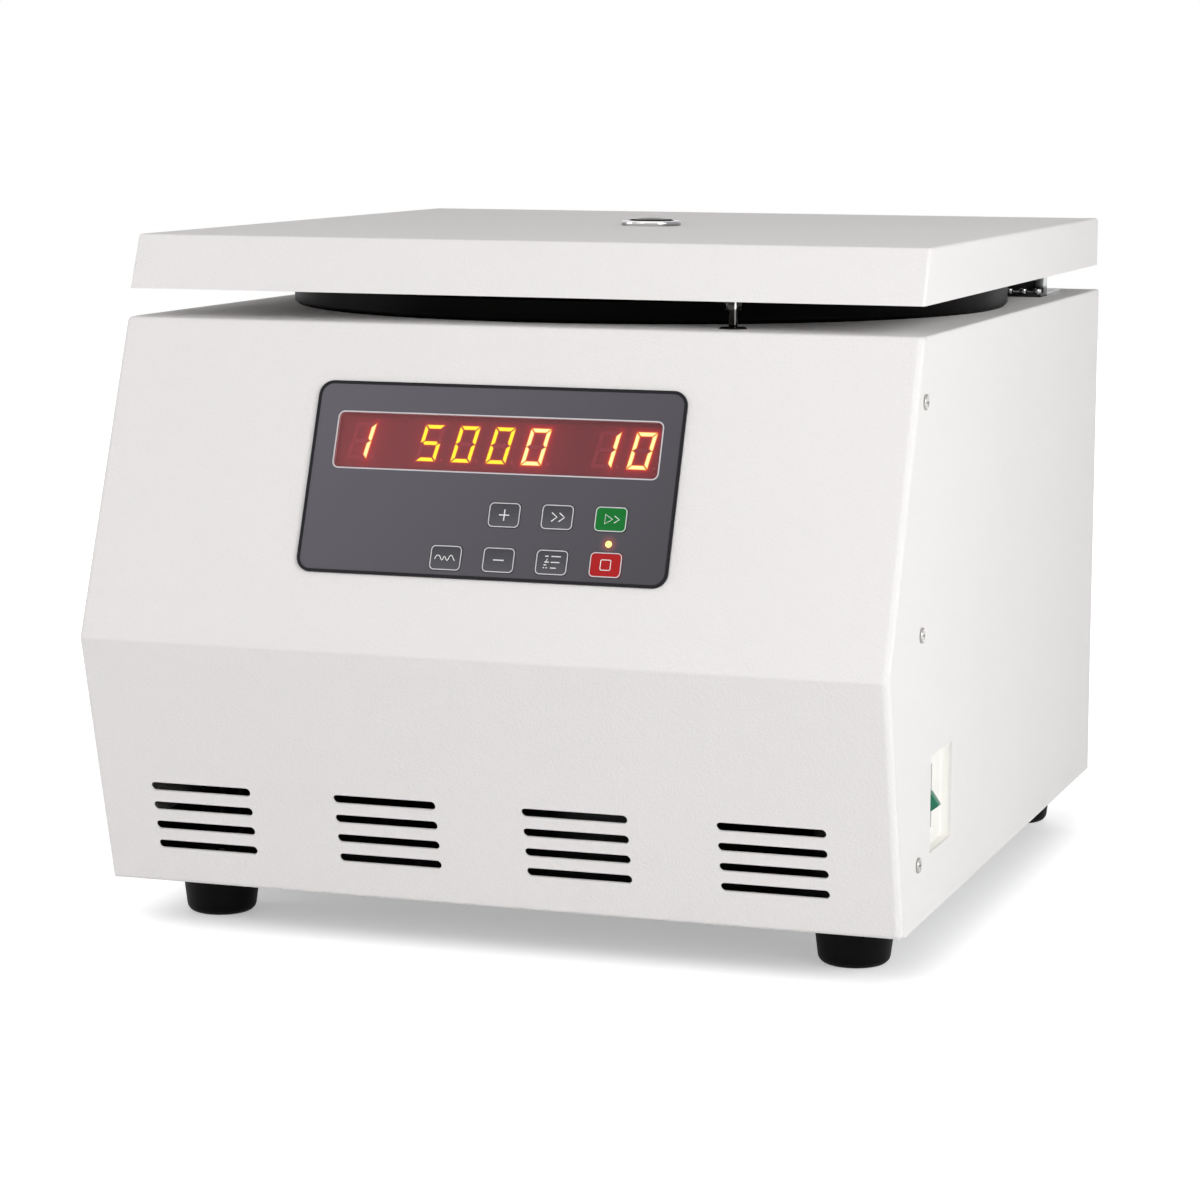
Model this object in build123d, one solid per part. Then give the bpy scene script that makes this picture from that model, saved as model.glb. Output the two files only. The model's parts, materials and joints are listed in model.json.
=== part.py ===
from build123d import *
import os
from math import cos, radians, sin, sqrt

# Microplate centrifuge: sheet-metal case, hinged lid, swing-out rotor. Sizes in millimetres.
# Everything is drawn in the case's own frame: X = 0 on the mid-plane, Y = 0 on the bend line
# of the front panel, Z = 0 on the case's bottom edge. save() moves it to the part's frame,
# whose origin is on the bench, under the middle of the whole part.

os.makedirs("parts", exist_ok=True)

# ---- clearances shared by all pieces
SEAM = 0.3              # open joint between neighbouring sheets
SLIDE_GAP = 0.3         # side gap round a key or a sliding bolt
RUN_GAP = 0.05          # radial gap of a pin or shaft that turns in a bore
FIT_GAP = 0.02          # radial gap of a pin fixed in a bore
REST_GAP = 0.3          # gap between a soft piece and what it nearly touches
SWING_GAP = 1.0         # side gap between hinge leaves

# ---- bucket for a microplate
PLATE_L = 127.8
PLATE_W = 85.5
PLATE_CLEAR = 0.8
BUCKET_L = PLATE_L + 4.2
BUCKET_W = PLATE_W + 4.5
BUCKET_ABOVE = 10.0     # rim above the pivot
BUCKET_BELOW = 30.0     # underside below the pivot
BUCKET_FLOOR = 3.0
BUCKET_BOSS = 3.5
BUCKET_BOSS_R = 8.0
BUCKET_CORNER_R = 5.0
BUCKETS_APART = 9.0     # between neighbours that hang down
SWING_R = (BUCKET_L + BUCKET_W) / 2 + BUCKETS_APART     # rotor axis to bucket pivot
SWING_ROOM = 72.0       # pivot to the bowl's wall, for the bucket to swing out
BOWL_R = SWING_R + SWING_ROOM

# ---- case, drawn round the bowl
SIDE_ROOM = 29.4        # bowl to the side of the case
FRONT_ROOM = 47.4       # top of the front panel to the bowl
REAR_ROOM = 32.6        # bowl to the rear of the case
LOWER_SET = 36.2        # how far the foot of the front panel lies behind the bend
UPPER_SET = 63.5        # how far its top lies behind the bend
CHAMBER_Y = UPPER_SET + FRONT_ROOM + BOWL_R
CASE_W = 2 * (BOWL_R + SIDE_ROOM)
CASE_D = CHAMBER_Y + BOWL_R + REAR_ROOM
CASE_H = 303.8
SHEET = 1.5
UPPER_H = 166.5         # height of the front panel above its bend
KINK_H = CASE_H - UPPER_H
HALF_W = CASE_W / 2
SKIN_X = HALF_W - SHEET             # inner face of the side sheets
DECK_UNDER = CASE_H - SHEET
CORNER_R = 4.0          # upright front corners
BEND_R = 2.5            # bend line and the bend onto the deck
CORNER_BAND = 4.3       # how far the front panel reaches round the sides and onto the deck
DECK_EDGE_R = 1.5
FLANGE_Y = 78.0         # rear edge of the front panel's hidden side flanges
FRONT_LIP = 18.0        # bottom lip of the front panel
TRAY_WALL = 25.0
REAR_FLANGE = 15.0

# ---- feet
FOOT_H = 27.5
FOOT_TOP_R = 22.2
FOOT_BOTTOM_R = 18.7
FOOT_EDGE_R = 5.0
FOOT_FRONT_X = HALF_W - 39.5
FOOT_REAR_X = HALF_W - 37.0
FOOT_FRONT_Y = 93.0
FOOT_REAR_Y = CASE_D - 41.8
FOOT_SCREW_R = 3.0
FOOT_HEAD_R = 5.5
FOOT_HEAD_H = 4.0
FOOT_POCKET_R = 7.5
FOOT_POCKET_H = 16.0

# ---- side screws
SIDE_SCREW_Y = 67.0
SIDE_SCREW_Z = (32.5, KINK_H + 14.7, CASE_H - 32.8)
SCREW_HEAD_R = 4.1
SCREW_HEAD_H = 1.5
SCREW_SHANK_R = 1.95
SCREW_SHANK_L = 8.0
SCREW_HOLE_R = 2.0

# ---- chamber
BOWL_WALL = 1.2
BOWL_FLOOR_Z = CASE_H - 120.8
BOWL_EDGE_R = 12.0
BOWL_RIM_R = BOWL_R + 11.0
DECK_HOLE_R = BOWL_R + 5.7
SEAL_IN_R = BOWL_R + 3.2
SEAL_OUT_R = BOWL_R + 15.2
SEAL_ROUND = 2.0
SEAL_LIP = 1.2

# ---- lid
LID_W = CASE_W - 2.0
LID_GAP = 15.3          # deck to lid
LID_T = 28.8
LID_FRONT_Y = UPPER_SET + 3.2
LID_FRONT_SET = 12.0    # how far the lid's front face leans back
LID_REAR_Y = CASE_D - 1.0
LID_EDGE_R = 1.8
LINER_GAP = 0.2

# ---- porthole in the lid
PORT_FLANGE_R = 17.3
PORT_FLANGE_H = 2.7
PORT_RING_R = 13.2
PORT_RING_H = 1.0       # at its inner edge; it slopes outwards
PORT_RING_EDGE = 0.3
PORT_GLASS_R = 11.0
PORT_GLASS_T = 3.0       # at its edge
PORT_CROWN = 0.9         # the glass domes up by this much
PORT_TUBE_R = 13.0
PORT_NUT_R = 17.0
PORT_NUT_H = 4.0
PORT_TUBE_BELOW = 4.5

# ---- lid lock
STRIKER_X = 113.0
STRIKER_Y = 91.0
STRIKER_R = 2.25
STRIKER_NECK_R = 1.4
STRIKER_DEPTH = 12.5    # how far the pin reaches below the deck's top
NECK_TOP = 5.0          # neck, below the deck's top
NECK_H = 4.0
COLLAR_R = 4.6
COLLAR_H = 5.6
STUD_R = 2.0
STUD_H = 9.0
LOCK_NUT_R = 4.0
ESCUTCHEON_R = 7.15
ESCUTCHEON_H = 0.8
STRIKER_HOLE_R = 4.2
LOCK_W = 36.0
LOCK_D = 24.0
LOCK_H = 20.0
BOLT_T = 3.0
BOLT_W = 10.0
BOLT_L = 34.0
BOLT_TRAVEL = 6.0
BOLT_FORK = 5.2
SOLENOID_L = 34.0
SOLENOID_CLEAR = 0.19   # solenoid to the rim of the bowl
PLUNGER_R = 3.0
PLUNGER_L = 22.0

# ---- lid hinges, the right one; the left one mirrors it
PIVOT_Y = CASE_D - 8.5    # so far back that the lid's rear edge swings clear of the seal
PIVOT_Z = CASE_H + 34.2
HINGE_OUT_X = LID_W / 2 - 15.3
HINGE_IN_X = HINGE_OUT_X - 34.0
EAR_T = 4.8
EAR_R = 5.5
HINGE_PLATE_T = 2.0
HINGE_PLATE_Y = (PIVOT_Y - 91.0, PIVOT_Y - 32.0)
EAR_FOOT_Y = (PIVOT_Y - 83.0, PIVOT_Y - 72.5)
EAR_NECK = (PIVOT_Y - 77.0, CASE_H + 22.7)
EAR_BAR = 10.6
PIN_R = 4.0
PIN_HEAD_R = 5.2
PIN_HEAD_T = 1.5
ARM_FRONT_Y = PIVOT_Y - 79.0
ARM_BOTTOM_Y = (PIVOT_Y - 78.0, PIVOT_Y - 62.0)
ARM_REAR = (PIVOT_Y - 58.0, CASE_H + LID_GAP + 1.5)    # behind this the arm is inside the lid
ARM_CLEAR = 0.8         # under the arm, to the base plate
HINGE_BOLT_X = tuple(HINGE_OUT_X - inset for inset in (20.0, 11.5, 3.0))
HINGE_BOLT_Y = PIVOT_Y - 87.0
HINGE_BOLT_R = 2.5
HINGE_BOLT_H = 2.8
HINGE_BOLT_SHANK_R = 1.5
HINGE_POCKET = 9.0      # liner cut back round each hinge
HINGE_POCKET_Y = PIVOT_Y - 85.0

# ---- motor
MOTOR_PLATE_Z = BOWL_FLOOR_Z - 143.0
MOTOR_PLATE_T = 6.0
MOTOR_PLATE_HALF = 120.0
MOTOR_PLATE_R = 10.0
DAMPER_R = 15.0
DAMPER_AT = MOTOR_PLATE_HALF - 20.0
MOTOR_R = 72.0
MOTOR_H = 124.0
MOTOR_EDGE_R = 8.0
MOTOR_FOOT_OUT = 8.0
MOTOR_FOOT_T = 8.0
MOTOR_NOSE_R = 30.0
MOTOR_NOSE_H = 8.0
SHAFT_R = 8.0
SHAFT_FOOT_Z = MOTOR_PLATE_Z + 20.0
BOOT_R = 26.0
BOOT_NECK_R = 18.0
BOOT_H = 7.0
BOOT_CLEAR = 1.0

# ---- rotor
PLACES = 4
SWING_Z = CASE_H - 53.8
YOKE_T = 18.0
HUB_R = 24.0
HUB_FOOT_Z = BOWL_FLOOR_Z + 22.0
ARM_W = 8.0
ARM_END = 10.0          # arm past the pivot
ARM_GAP = 1.5           # bucket boss to arm
TRUNNION_R = 3.0
ROTOR_NUT_R = 16.0
ROTOR_NUT_H = 20.0
SHAFT_TOP_H = 12.0      # threaded end above the yoke
SHAFT_THREAD_R = 5.0

# ---- control panel: distances along the upper slope, from the bend upwards
OVERLAY_HALF_W = 101.8
OVERLAY_S = (42.1, 146.0)
OVERLAY_R = 8.0
OVERLAY_T = 0.8
DISPLAY_X = 0.8
DISPLAY_HALF_W = 89.3
DISPLAY_S = (99.0, 129.1)
DISPLAY_R = 3.0
DISPLAY_FLANGE = 2.0
DIGIT_X = (-84.0, -64.5, -45.1, -25.6, -6.1, 13.5, 33.0, 51.6, 71.1)
DIGIT_W = 18.0
DIGIT_H = 26.0
DIGIT_T = 5.5
DIGIT_SHIFT = 6.6       # foot of a lit digit's left edge to its block's middle
KEY_W = 17.0
KEY_H = 13.0
KEY_R = 2.0
KEY_PROUD = 0.3         # key face above the overlay
KEY_TRAVEL = 0.4
KEY_FLANGE = 1.3
KEY_FLANGE_T = 1.2
KEY_STEM_R = 2.0
DOME_R = 3.0
DOME_T = 0.4
KEYS = {
    "key_plus": (10.3, 76.8),
    "key_spin": (39.2, 76.9),
    "key_start": (68.1, 77.0),
    "key_ramp": (-18.8, 52.8),
    "key_minus": (10.2, 52.9),
    "key_set": (39.1, 53.0),
    "key_stop": (68.1, 53.0),
}
LED_AT = (68.4, 64.0)
LED_R = 1.75
LED_PROUD = 0.6
BOARD_DEPTH = 10.0      # front of the control board, behind the panel's outer face
BOARD_T = 1.6
BOARD_MARGIN = 3.0
POST_R = 3.0
POST_INSET = 5.0

# ---- vent slots in the lower slope
SLOT_L = 58.0
SLOT_H = 5.0
SLOT_COLS = (-161.0, -55.4, 50.2, 155.8)
SLOT_ROWS = (85.0, 96.45, 107.9, 119.35)

# ---- power switch in the right side
SWITCH_Y = (93.3, 141.4)
SWITCH_Z = (33.2, 84.7)
SWITCH_RECESS = 4.2     # depth of the recess behind the side sheet
SWITCH_FACE_X = SKIN_X - SWITCH_RECESS
SWITCH_DEPTH = 60.0
SWITCH_WALL = 3.0
LEVER_W = 6.0
LEVER_SLOT_W = 7.0
LEVER_SLOT_H = 34.0
LEVER_PIVOT_IN = 8.0    # pivot behind the recess floor
LEVER_PIN_R = 1.5
LEVER_HUB_R = 5.5
LEVER_TIP_X = SWITCH_FACE_X + 5.1
LEVER_TIP_Z = 53.8
LEVER_ROOT_Z = 61.3
LEVER_FOOT_Z = 50.4

# ---- rear: fan and mains inlet
FAN_X = -100.0
FAN_Z = 95.0
FAN_SIZE = 119.0
FAN_T = 25.0
FAN_BORE_R = FAN_SIZE / 2 - 3.5
FAN_HUB_R = 20.0
FAN_BLADE_R = FAN_BORE_R - 2.0
FAN_BLADES = 7
FAN_BLADE_T = 2.0
FAN_BLADE_DEPTH = 13.0
FAN_BLADE_TILT = 35.0
FAN_STRUT_T = 4.0
FAN_STRUT_W = 5.0
FAN_HUB_T = 17.0
FAN_PIN_R = 2.0
GUARD_WIRE_R = 1.2
GUARD_RINGS = (18.0, 32.0, 46.0, 58.0)
INLET_X = 150.0
INLET_Z = 60.0
INLET_W = 27.0
INLET_H = 47.0
INLET_T = 34.0
INLET_FLANGE = 2.5
REAR_PROUD = 4.5        # inlet flange, the part's rearmost face
SOCKET_W = 20.0
SOCKET_H = 15.0
SOCKET_T = 17.0
SOCKET_Z = 11.0         # socket's middle below the inlet's middle
BLADE_L = 10.0
BLADE_PIN_W = 2.0
BLADE_PIN_H = 4.0
BLADE_PITCH = 7.0
REAR_SLOT_X = 60.0
REAR_SLOT_L = 70.0
REAR_SLOT_Z = (190.0, 205.0, 220.0, 235.0)

# ---- motor drive on the tray
DRIVE_X = (-HALF_W + 15.0, -MOTOR_PLATE_HALF - 15.0)
DRIVE_Y = (120.0, CASE_D - 107.5)
DRIVE_BASE_T = 5.0
DRIVE_FIN_T = 2.5
DRIVE_FIN_H = 50.0
DRIVE_FINS = 7

# ---- worked out
PLACE = Pos(0, -(CASE_D + REAR_PROUD) / 2, FOOT_H)
LOWER_STRETCH = sqrt(1 + (LOWER_SET / KINK_H) ** 2)
UPPER_STRETCH = sqrt(1 + (UPPER_SET / UPPER_H) ** 2)
UPPER_FACE = Plane(origin=(0, 0, KINK_H), x_dir=(1, 0, 0), z_dir=(0, -UPPER_H, UPPER_SET))
LOWER_FACE = Plane(origin=(0, 0, KINK_H), x_dir=(1, 0, 0), z_dir=(0, -KINK_H, -LOWER_SET))
LID_UNDER = CASE_H + LID_GAP
LID_TOP = LID_UNDER + LID_T
LID_INNER_TOP = LID_TOP - SHEET
LINER_TOP = LID_UNDER + SHEET
SIDES = {"left": -1, "right": 1}


def save(name, *solids):
    """Write one node; several solids stay separate solids of that node."""
    placed = [PLACE * solid for solid in solids]
    shape = placed[0] if len(placed) == 1 else Compound(children=placed)
    export_step(shape, f"parts/{name}.step")


def block(x, y, z):
    """Box between the two values given for each axis."""
    size = [high - low for low, high in (x, y, z)]
    middle = [(low + high) / 2 for low, high in (x, y, z)]
    return Pos(*middle) * Box(*size)


def rod(radius, low, high, x=0.0, y=0.0):
    """Upright cylinder from height low to height high."""
    return Pos(x, y, (low + high) / 2) * Cylinder(radius, high - low)


def rod_x(radius, low, high, y, z):
    """Cylinder along X."""
    return Pos((low + high) / 2, y, z) * Rot(0, 90, 0) * Cylinder(radius, high - low)


def rod_y(radius, low, high, x, z):
    """Cylinder along Y."""
    return Pos(x, (low + high) / 2, z) * Rot(90, 0, 0) * Cylinder(radius, high - low)


def side_plate(points, low, high):
    """Outline of (Y, Z) points, extruded along X from low to high."""
    outline = Plane.YZ.offset(low) * Polygon(*points, align=None)
    return extrude(outline, high - low, dir=(1, 0, 0))


def turned(points, x=0.0, y=0.0):
    """Outline of (radius, Z) points, turned about an upright axis."""
    return Pos(x, y, 0) * revolve(Plane.XZ * Polygon(*points, align=None), Axis.Z)


def mirrored(solid):
    """The same piece on the other side of the mid-plane."""
    return mirror(solid, Plane.YZ)


def front_y(z, inset):
    """Y of the bent front at height z, moved inwards by inset."""
    lower = LOWER_SET * (1 - z / KINK_H) + inset * LOWER_STRETCH
    upper = UPPER_SET * (z - KINK_H) / UPPER_H + inset * UPPER_STRETCH
    return max(lower, upper)


def bend_z(inset):
    """Height of the bend line of the front, moved inwards by inset."""
    slopes = UPPER_SET / UPPER_H + LOWER_SET / KINK_H
    return KINK_H + inset * (LOWER_STRETCH - UPPER_STRETCH) / slopes


def front_points(inset, bottom, top):
    """The front's outline from bottom to top, moved inwards by inset."""
    bend = bend_z(inset)
    return [(front_y(bottom, inset), bottom), (front_y(bend, inset), bend), (front_y(top, inset), top)]


def case_solid(inset, bottom, top, rear):
    """The case as a solid block, moved inwards by inset at the front and the sides."""
    points = front_points(inset, bottom, top) + [(rear, top), (rear, bottom)]
    return side_plate(points, inset - HALF_W, HALF_W - inset)


def upright_corners(solid, half_width):
    """The edges where the sloped front meets the sides."""
    at_side = [e for e in solid.edges() if abs(abs(e.center().X) - half_width) < 0.01]
    return [e for e in at_side if e.center().Y < UPPER_SET]


def cross_edges(solid, limit_y):
    """The edges that run across the front, in front of limit_y."""
    across = solid.edges().filter_by(Axis.X)
    return [e for e in across if e.center().Y < limit_y]


def screw_holes(radius):
    """Cutters for the screws through both sides."""
    return [rod_x(radius, -HALF_W - 1, HALF_W + 1, SIDE_SCREW_Y, z) for z in SIDE_SCREW_Z]


def rounded(width, height, radius, low, high):
    """Plate with rounded corners, standing from low to high on the drawing plane."""
    return Pos(0, 0, low) * extrude(RectangleRounded(width, height, radius), high - low)


# ---------------------------------------------------------------- case

def front_panel():
    outer = case_solid(0, 0, CASE_H, CASE_D)
    outer = fillet(upright_corners(outer, HALF_W), CORNER_R)
    outer = fillet(cross_edges(outer, UPPER_SET + 1), BEND_R)
    inner = case_solid(SHEET, SHEET, DECK_UNDER, CASE_D + 1)
    inner = fillet(upright_corners(inner, SKIN_X), CORNER_R - SHEET)
    zone_points = front_points(-1, -1, CASE_H + 1)
    zone_points += front_points(CORNER_BAND - SEAM / 2, -1, CASE_H + 1)[::-1]
    skin = (outer - inner) & side_plate(zone_points, -HALF_W - 1, HALF_W + 1)
    lip_y = (front_y(0, SHEET), LOWER_SET + FRONT_LIP)
    panel = skin + block((SHEET - SKIN_X, SKIN_X - SHEET), lip_y, (0, SHEET))
    flange = front_points(SHEET / 2, 0, DECK_UNDER - SEAM) + [
        (FLANGE_Y, DECK_UNDER - SEAM),
        (FLANGE_Y, 0),
    ]
    for low, high in ((-SKIN_X, SHEET - SKIN_X), (SKIN_X - SHEET, SKIN_X)):
        panel += side_plate(flange, low, high)
    for x in SLOT_COLS:
        for row in SLOT_ROWS:
            panel -= LOWER_FACE * Pos(x, -row, 0) * extrude(SlotOverall(SLOT_L, SLOT_H), 4, both=True)
    display_h = DISPLAY_S[1] - DISPLAY_S[0]
    display_s = sum(DISPLAY_S) / 2
    window = rounded(2 * DISPLAY_HALF_W + 2 * FIT_GAP, display_h + 2 * FIT_GAP, DISPLAY_R, -4, 4)
    panel -= UPPER_FACE * Pos(DISPLAY_X, display_s, 0) * window
    key_hole = rounded(KEY_W + 2 * SLIDE_GAP, KEY_H + 2 * SLIDE_GAP, KEY_R, -4, 4)
    for x, s in KEYS.values():
        panel -= UPPER_FACE * Pos(x, s, 0) * key_hole
    panel -= UPPER_FACE * Pos(*LED_AT, 0) * Cylinder(LED_R + FIT_GAP, 8)
    for hole in screw_holes(SCREW_HOLE_R):
        panel -= hole
    return panel


def outer_cover():
    outer = case_solid(0, 0, CASE_H, CASE_D)
    deck_edges = [e for e in outer.edges().filter_by(Axis.Y) if e.center().Z > KINK_H]
    outer = fillet(deck_edges, DECK_EDGE_R)
    inner = block((-SKIN_X, SKIN_X), (-1, CASE_D + 1), (-1, DECK_UNDER))
    zone_points = front_points(-1, -1, CASE_H + 1)
    zone_points += front_points(CORNER_BAND + SEAM / 2, -1, CASE_H + 1)[::-1]
    cover = outer - inner - side_plate(zone_points, -HALF_W - 1, HALF_W + 1)
    cover -= rod(DECK_HOLE_R, DECK_UNDER - 1, CASE_H + 1, 0, CHAMBER_Y)
    cover -= rod(STRIKER_HOLE_R, DECK_UNDER - 1, CASE_H + 1, STRIKER_X, STRIKER_Y)
    for side in SIDES.values():
        for x in HINGE_BOLT_X:
            bolt_hole = HINGE_BOLT_SHANK_R + RUN_GAP
            cover -= rod(bolt_hole, DECK_UNDER - 1, CASE_H + 1, side * x, HINGE_BOLT_Y)
    cover -= block((SKIN_X - 1, HALF_W + 1), SWITCH_Y, SWITCH_Z)
    for hole in screw_holes(SCREW_HOLE_R):
        cover -= hole
    return cover


def base_tray():
    tray_x = SKIN_X - LINER_GAP
    front = LOWER_SET + FRONT_LIP + SEAM
    rear = CASE_D - SHEET - LINER_GAP
    tray = block((-tray_x, tray_x), (front, rear), (0, SHEET))
    for low in (-tray_x, tray_x - SHEET):
        tray += block((low, low + SHEET), (FLANGE_Y + SEAM, rear), (0, TRAY_WALL))
    # the strip beside the front panel's flanges gives way to them
    for side in SIDES.values():
        edge = sorted((side * (SKIN_X - SHEET - SEAM), side * HALF_W))
        tray -= block(edge, (0, FLANGE_Y + SEAM), (-1, TRAY_WALL))
    for x, y in foot_places():
        tray -= rod(FOOT_SCREW_R + FIT_GAP, -1, SHEET + 1, x, y)
    return tray


def rear_panel():
    half = SKIN_X - LINER_GAP
    top = DECK_UNDER - LINER_GAP
    panel = block((-half, half), (CASE_D - SHEET, CASE_D), (0, top))
    for low in (-half, half - SHEET):
        flange_y = (CASE_D - SHEET - REAR_FLANGE, CASE_D - SHEET)
        panel += block((low, low + SHEET), flange_y, (TRAY_WALL + SEAM, top))
    panel -= rod_y(FAN_BORE_R, CASE_D - 5, CASE_D + 5, FAN_X, FAN_Z)
    inlet_x = (INLET_X - INLET_W / 2 - FIT_GAP, INLET_X + INLET_W / 2 + FIT_GAP)
    inlet_z = (INLET_Z - INLET_H / 2 - FIT_GAP, INLET_Z + INLET_H / 2 + FIT_GAP)
    panel -= block(inlet_x, (CASE_D - 5, CASE_D + 5), inlet_z)
    slot = Rot(90, 0, 0) * extrude(SlotOverall(REAR_SLOT_L, SLOT_H), 4, both=True)
    for x in (-REAR_SLOT_X, REAR_SLOT_X):
        for z in REAR_SLOT_Z:
            panel -= Pos(x, CASE_D - SHEET / 2, z) * slot
    return panel


def foot_places():
    """Front pair, then rear pair, each from left to right."""
    pairs = ((FOOT_FRONT_X, FOOT_FRONT_Y), (FOOT_REAR_X, FOOT_REAR_Y))
    return [(side * x, y) for x, y in pairs for side in (-1, 1)]


def foot(x, y):
    body = Pos(x, y, -FOOT_H / 2) * Rot(180, 0, 0) * Cone(FOOT_TOP_R, FOOT_BOTTOM_R, FOOT_H)
    body = fillet(body.edges().sort_by(Axis.Z)[0], FOOT_EDGE_R)
    body -= rod(FOOT_POCKET_R, -FOOT_H - 1, FOOT_POCKET_H - FOOT_H, x, y)
    return body - rod(FOOT_SCREW_R + FIT_GAP, -FOOT_H, 1, x, y)


def foot_screw(x, y):
    seat = FOOT_POCKET_H - FOOT_H
    head = rod(FOOT_HEAD_R, seat - FOOT_HEAD_H, seat, x, y)
    return head + rod(FOOT_SCREW_R, seat, SHEET + 6, x, y)


def side_screw(side, z):
    """Pan head outside the case, shank through the cover and the front panel's flange."""
    head = rod_x(SCREW_HEAD_R, HALF_W, HALF_W + SCREW_HEAD_H, SIDE_SCREW_Y, z)
    head = fillet(head.edges().sort_by(Axis.X)[-1], SCREW_HEAD_H * 0.6)
    shank = rod_x(SCREW_SHANK_R, HALF_W - SCREW_SHANK_L, HALF_W, SIDE_SCREW_Y, z)
    cross = [
        Pos(HALF_W + SCREW_HEAD_H, SIDE_SCREW_Y, z) * Rot(turn, 0, 0) * Box(2.4, 4.6, 0.9)
        for turn in (0, 90)
    ]
    screw = head + shank - cross[0] - cross[1]
    return screw if side > 0 else mirrored(screw)


# ---------------------------------------------------------------- chamber

def chamber_bowl():
    outer = rod(BOWL_R + BOWL_WALL, BOWL_FLOOR_Z, DECK_UNDER, 0, CHAMBER_Y)
    outer = fillet(outer.edges().sort_by(Axis.Z)[0], BOWL_EDGE_R)
    inner = rod(BOWL_R, BOWL_FLOOR_Z + BOWL_WALL, DECK_UNDER + 1, 0, CHAMBER_Y)
    inner = fillet(inner.edges().sort_by(Axis.Z)[0], BOWL_EDGE_R - BOWL_WALL)
    rim = rod(BOWL_RIM_R, DECK_UNDER - BOWL_WALL, DECK_UNDER, 0, CHAMBER_Y)
    bowl = outer + rim - inner
    return bowl - rod(BOOT_NECK_R, BOWL_FLOOR_Z - 1, BOWL_FLOOR_Z + 3, 0, CHAMBER_Y)


def chamber_seal():
    top = LID_UNDER - REST_GAP
    lip = top - SEAL_ROUND
    return turned([
        (SEAL_IN_R, DECK_UNDER + 0.1),
        (DECK_HOLE_R - REST_GAP, DECK_UNDER + 0.1),
        (DECK_HOLE_R - REST_GAP, CASE_H),
        (SEAL_OUT_R - SEAL_ROUND, CASE_H),
        (SEAL_OUT_R, CASE_H + SEAL_ROUND),
        (SEAL_OUT_R, lip - SEAL_LIP),
        (SEAL_OUT_R - SEAL_LIP, lip),
        (SEAL_OUT_R, lip + SEAL_LIP / 2),
        (SEAL_OUT_R - SEAL_LIP / 2, top),
        (SEAL_IN_R, top),
    ], 0, CHAMBER_Y)


# ---------------------------------------------------------------- lid

def lid_front_y(z, inset):
    """Y of the lid's leaning front face at height z, moved inwards by inset."""
    lean = LID_FRONT_SET / LID_T
    return LID_FRONT_Y + (z - LID_UNDER) * lean + inset * sqrt(1 + lean ** 2)


def lid_solid(inset, bottom, top):
    points = [
        (lid_front_y(bottom, inset), bottom),
        (lid_front_y(top, inset), top),
        (LID_REAR_Y - inset, top),
        (LID_REAR_Y - inset, bottom),
    ]
    return side_plate(points, inset - LID_W / 2, LID_W / 2 - inset)


def lid_shell():
    outer = lid_solid(0, LID_UNDER, LID_TOP)
    soft = [e for e in outer.edges() if e.center().Z > LID_UNDER + 1]
    outer = fillet(soft, LID_EDGE_R)
    shell = outer - lid_solid(SHEET, LID_UNDER - 1, LID_INNER_TOP)
    return shell - rod(PORT_TUBE_R + FIT_GAP, LID_INNER_TOP - 1, LID_TOP + 1, 0, CHAMBER_Y)


def lid_liner():
    half = LID_W / 2 - SHEET - LINER_GAP
    front = lid_front_y(LINER_TOP, SHEET) + LINER_GAP
    rear = LID_REAR_Y - SHEET - LINER_GAP
    liner = block((-half, half), (front, rear), (LID_UNDER, LINER_TOP))
    pocket = (HINGE_IN_X - HINGE_POCKET, HINGE_OUT_X + HINGE_POCKET - 2)
    for side in SIDES.values():
        pocket_x = sorted(side * x for x in pocket)
        liner -= block(pocket_x, (HINGE_POCKET_Y, rear + 1), (LID_UNDER - 1, LINER_TOP + 1))
    liner -= rod(PORT_TUBE_R + FIT_GAP, LID_UNDER - 1, LINER_TOP + 1, 0, CHAMBER_Y)
    return liner - rod(STUD_R + FIT_GAP, LID_UNDER - 1, LINER_TOP + 1, STRIKER_X, STRIKER_Y)


def porthole_bezel():
    flange_top = LID_TOP + PORT_FLANGE_H
    ring_top = flange_top + PORT_RING_H
    glass_seat = ring_top - PORT_GLASS_T
    return turned([
        (PORT_GLASS_R - 2.0, LID_UNDER - PORT_TUBE_BELOW),
        (PORT_TUBE_R, LID_UNDER - PORT_TUBE_BELOW),
        (PORT_TUBE_R, LID_TOP),
        (PORT_FLANGE_R, LID_TOP),
        (PORT_FLANGE_R, flange_top - 0.6),
        (PORT_FLANGE_R - 0.6, flange_top),
        (PORT_RING_R, flange_top),
        (PORT_RING_R, flange_top + PORT_RING_EDGE),
        (PORT_GLASS_R + FIT_GAP, ring_top),
        (PORT_GLASS_R + FIT_GAP, glass_seat),
        (PORT_GLASS_R - 2.0, glass_seat),
    ], 0, CHAMBER_Y)


def porthole_glass():
    """Round glass with a slightly domed top."""
    edge = LID_TOP + PORT_FLANGE_H + PORT_RING_H
    top = edge + PORT_CROWN
    dome_r = (PORT_GLASS_R ** 2 + PORT_CROWN ** 2) / (2 * PORT_CROWN)
    glass = rod(PORT_GLASS_R, edge - PORT_GLASS_T, top, 0, CHAMBER_Y)
    return glass & Pos(0, CHAMBER_Y, top - dome_r) * Sphere(dome_r)


def porthole_nut():
    low = LID_UNDER - PORT_NUT_H
    nut = rod(PORT_NUT_R, low, LID_UNDER, 0, CHAMBER_Y)
    for turn in range(6):
        angle = radians(60 * turn)
        x = (PORT_NUT_R + 1) * cos(angle)
        y = CHAMBER_Y + (PORT_NUT_R + 1) * sin(angle)
        nut -= rod(3.0, low - 1, LID_UNDER + 1, x, y)
    return nut - rod(PORT_TUBE_R + FIT_GAP, low - 1, LID_UNDER + 1, 0, CHAMBER_Y)


# ---------------------------------------------------------------- lid lock

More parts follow.
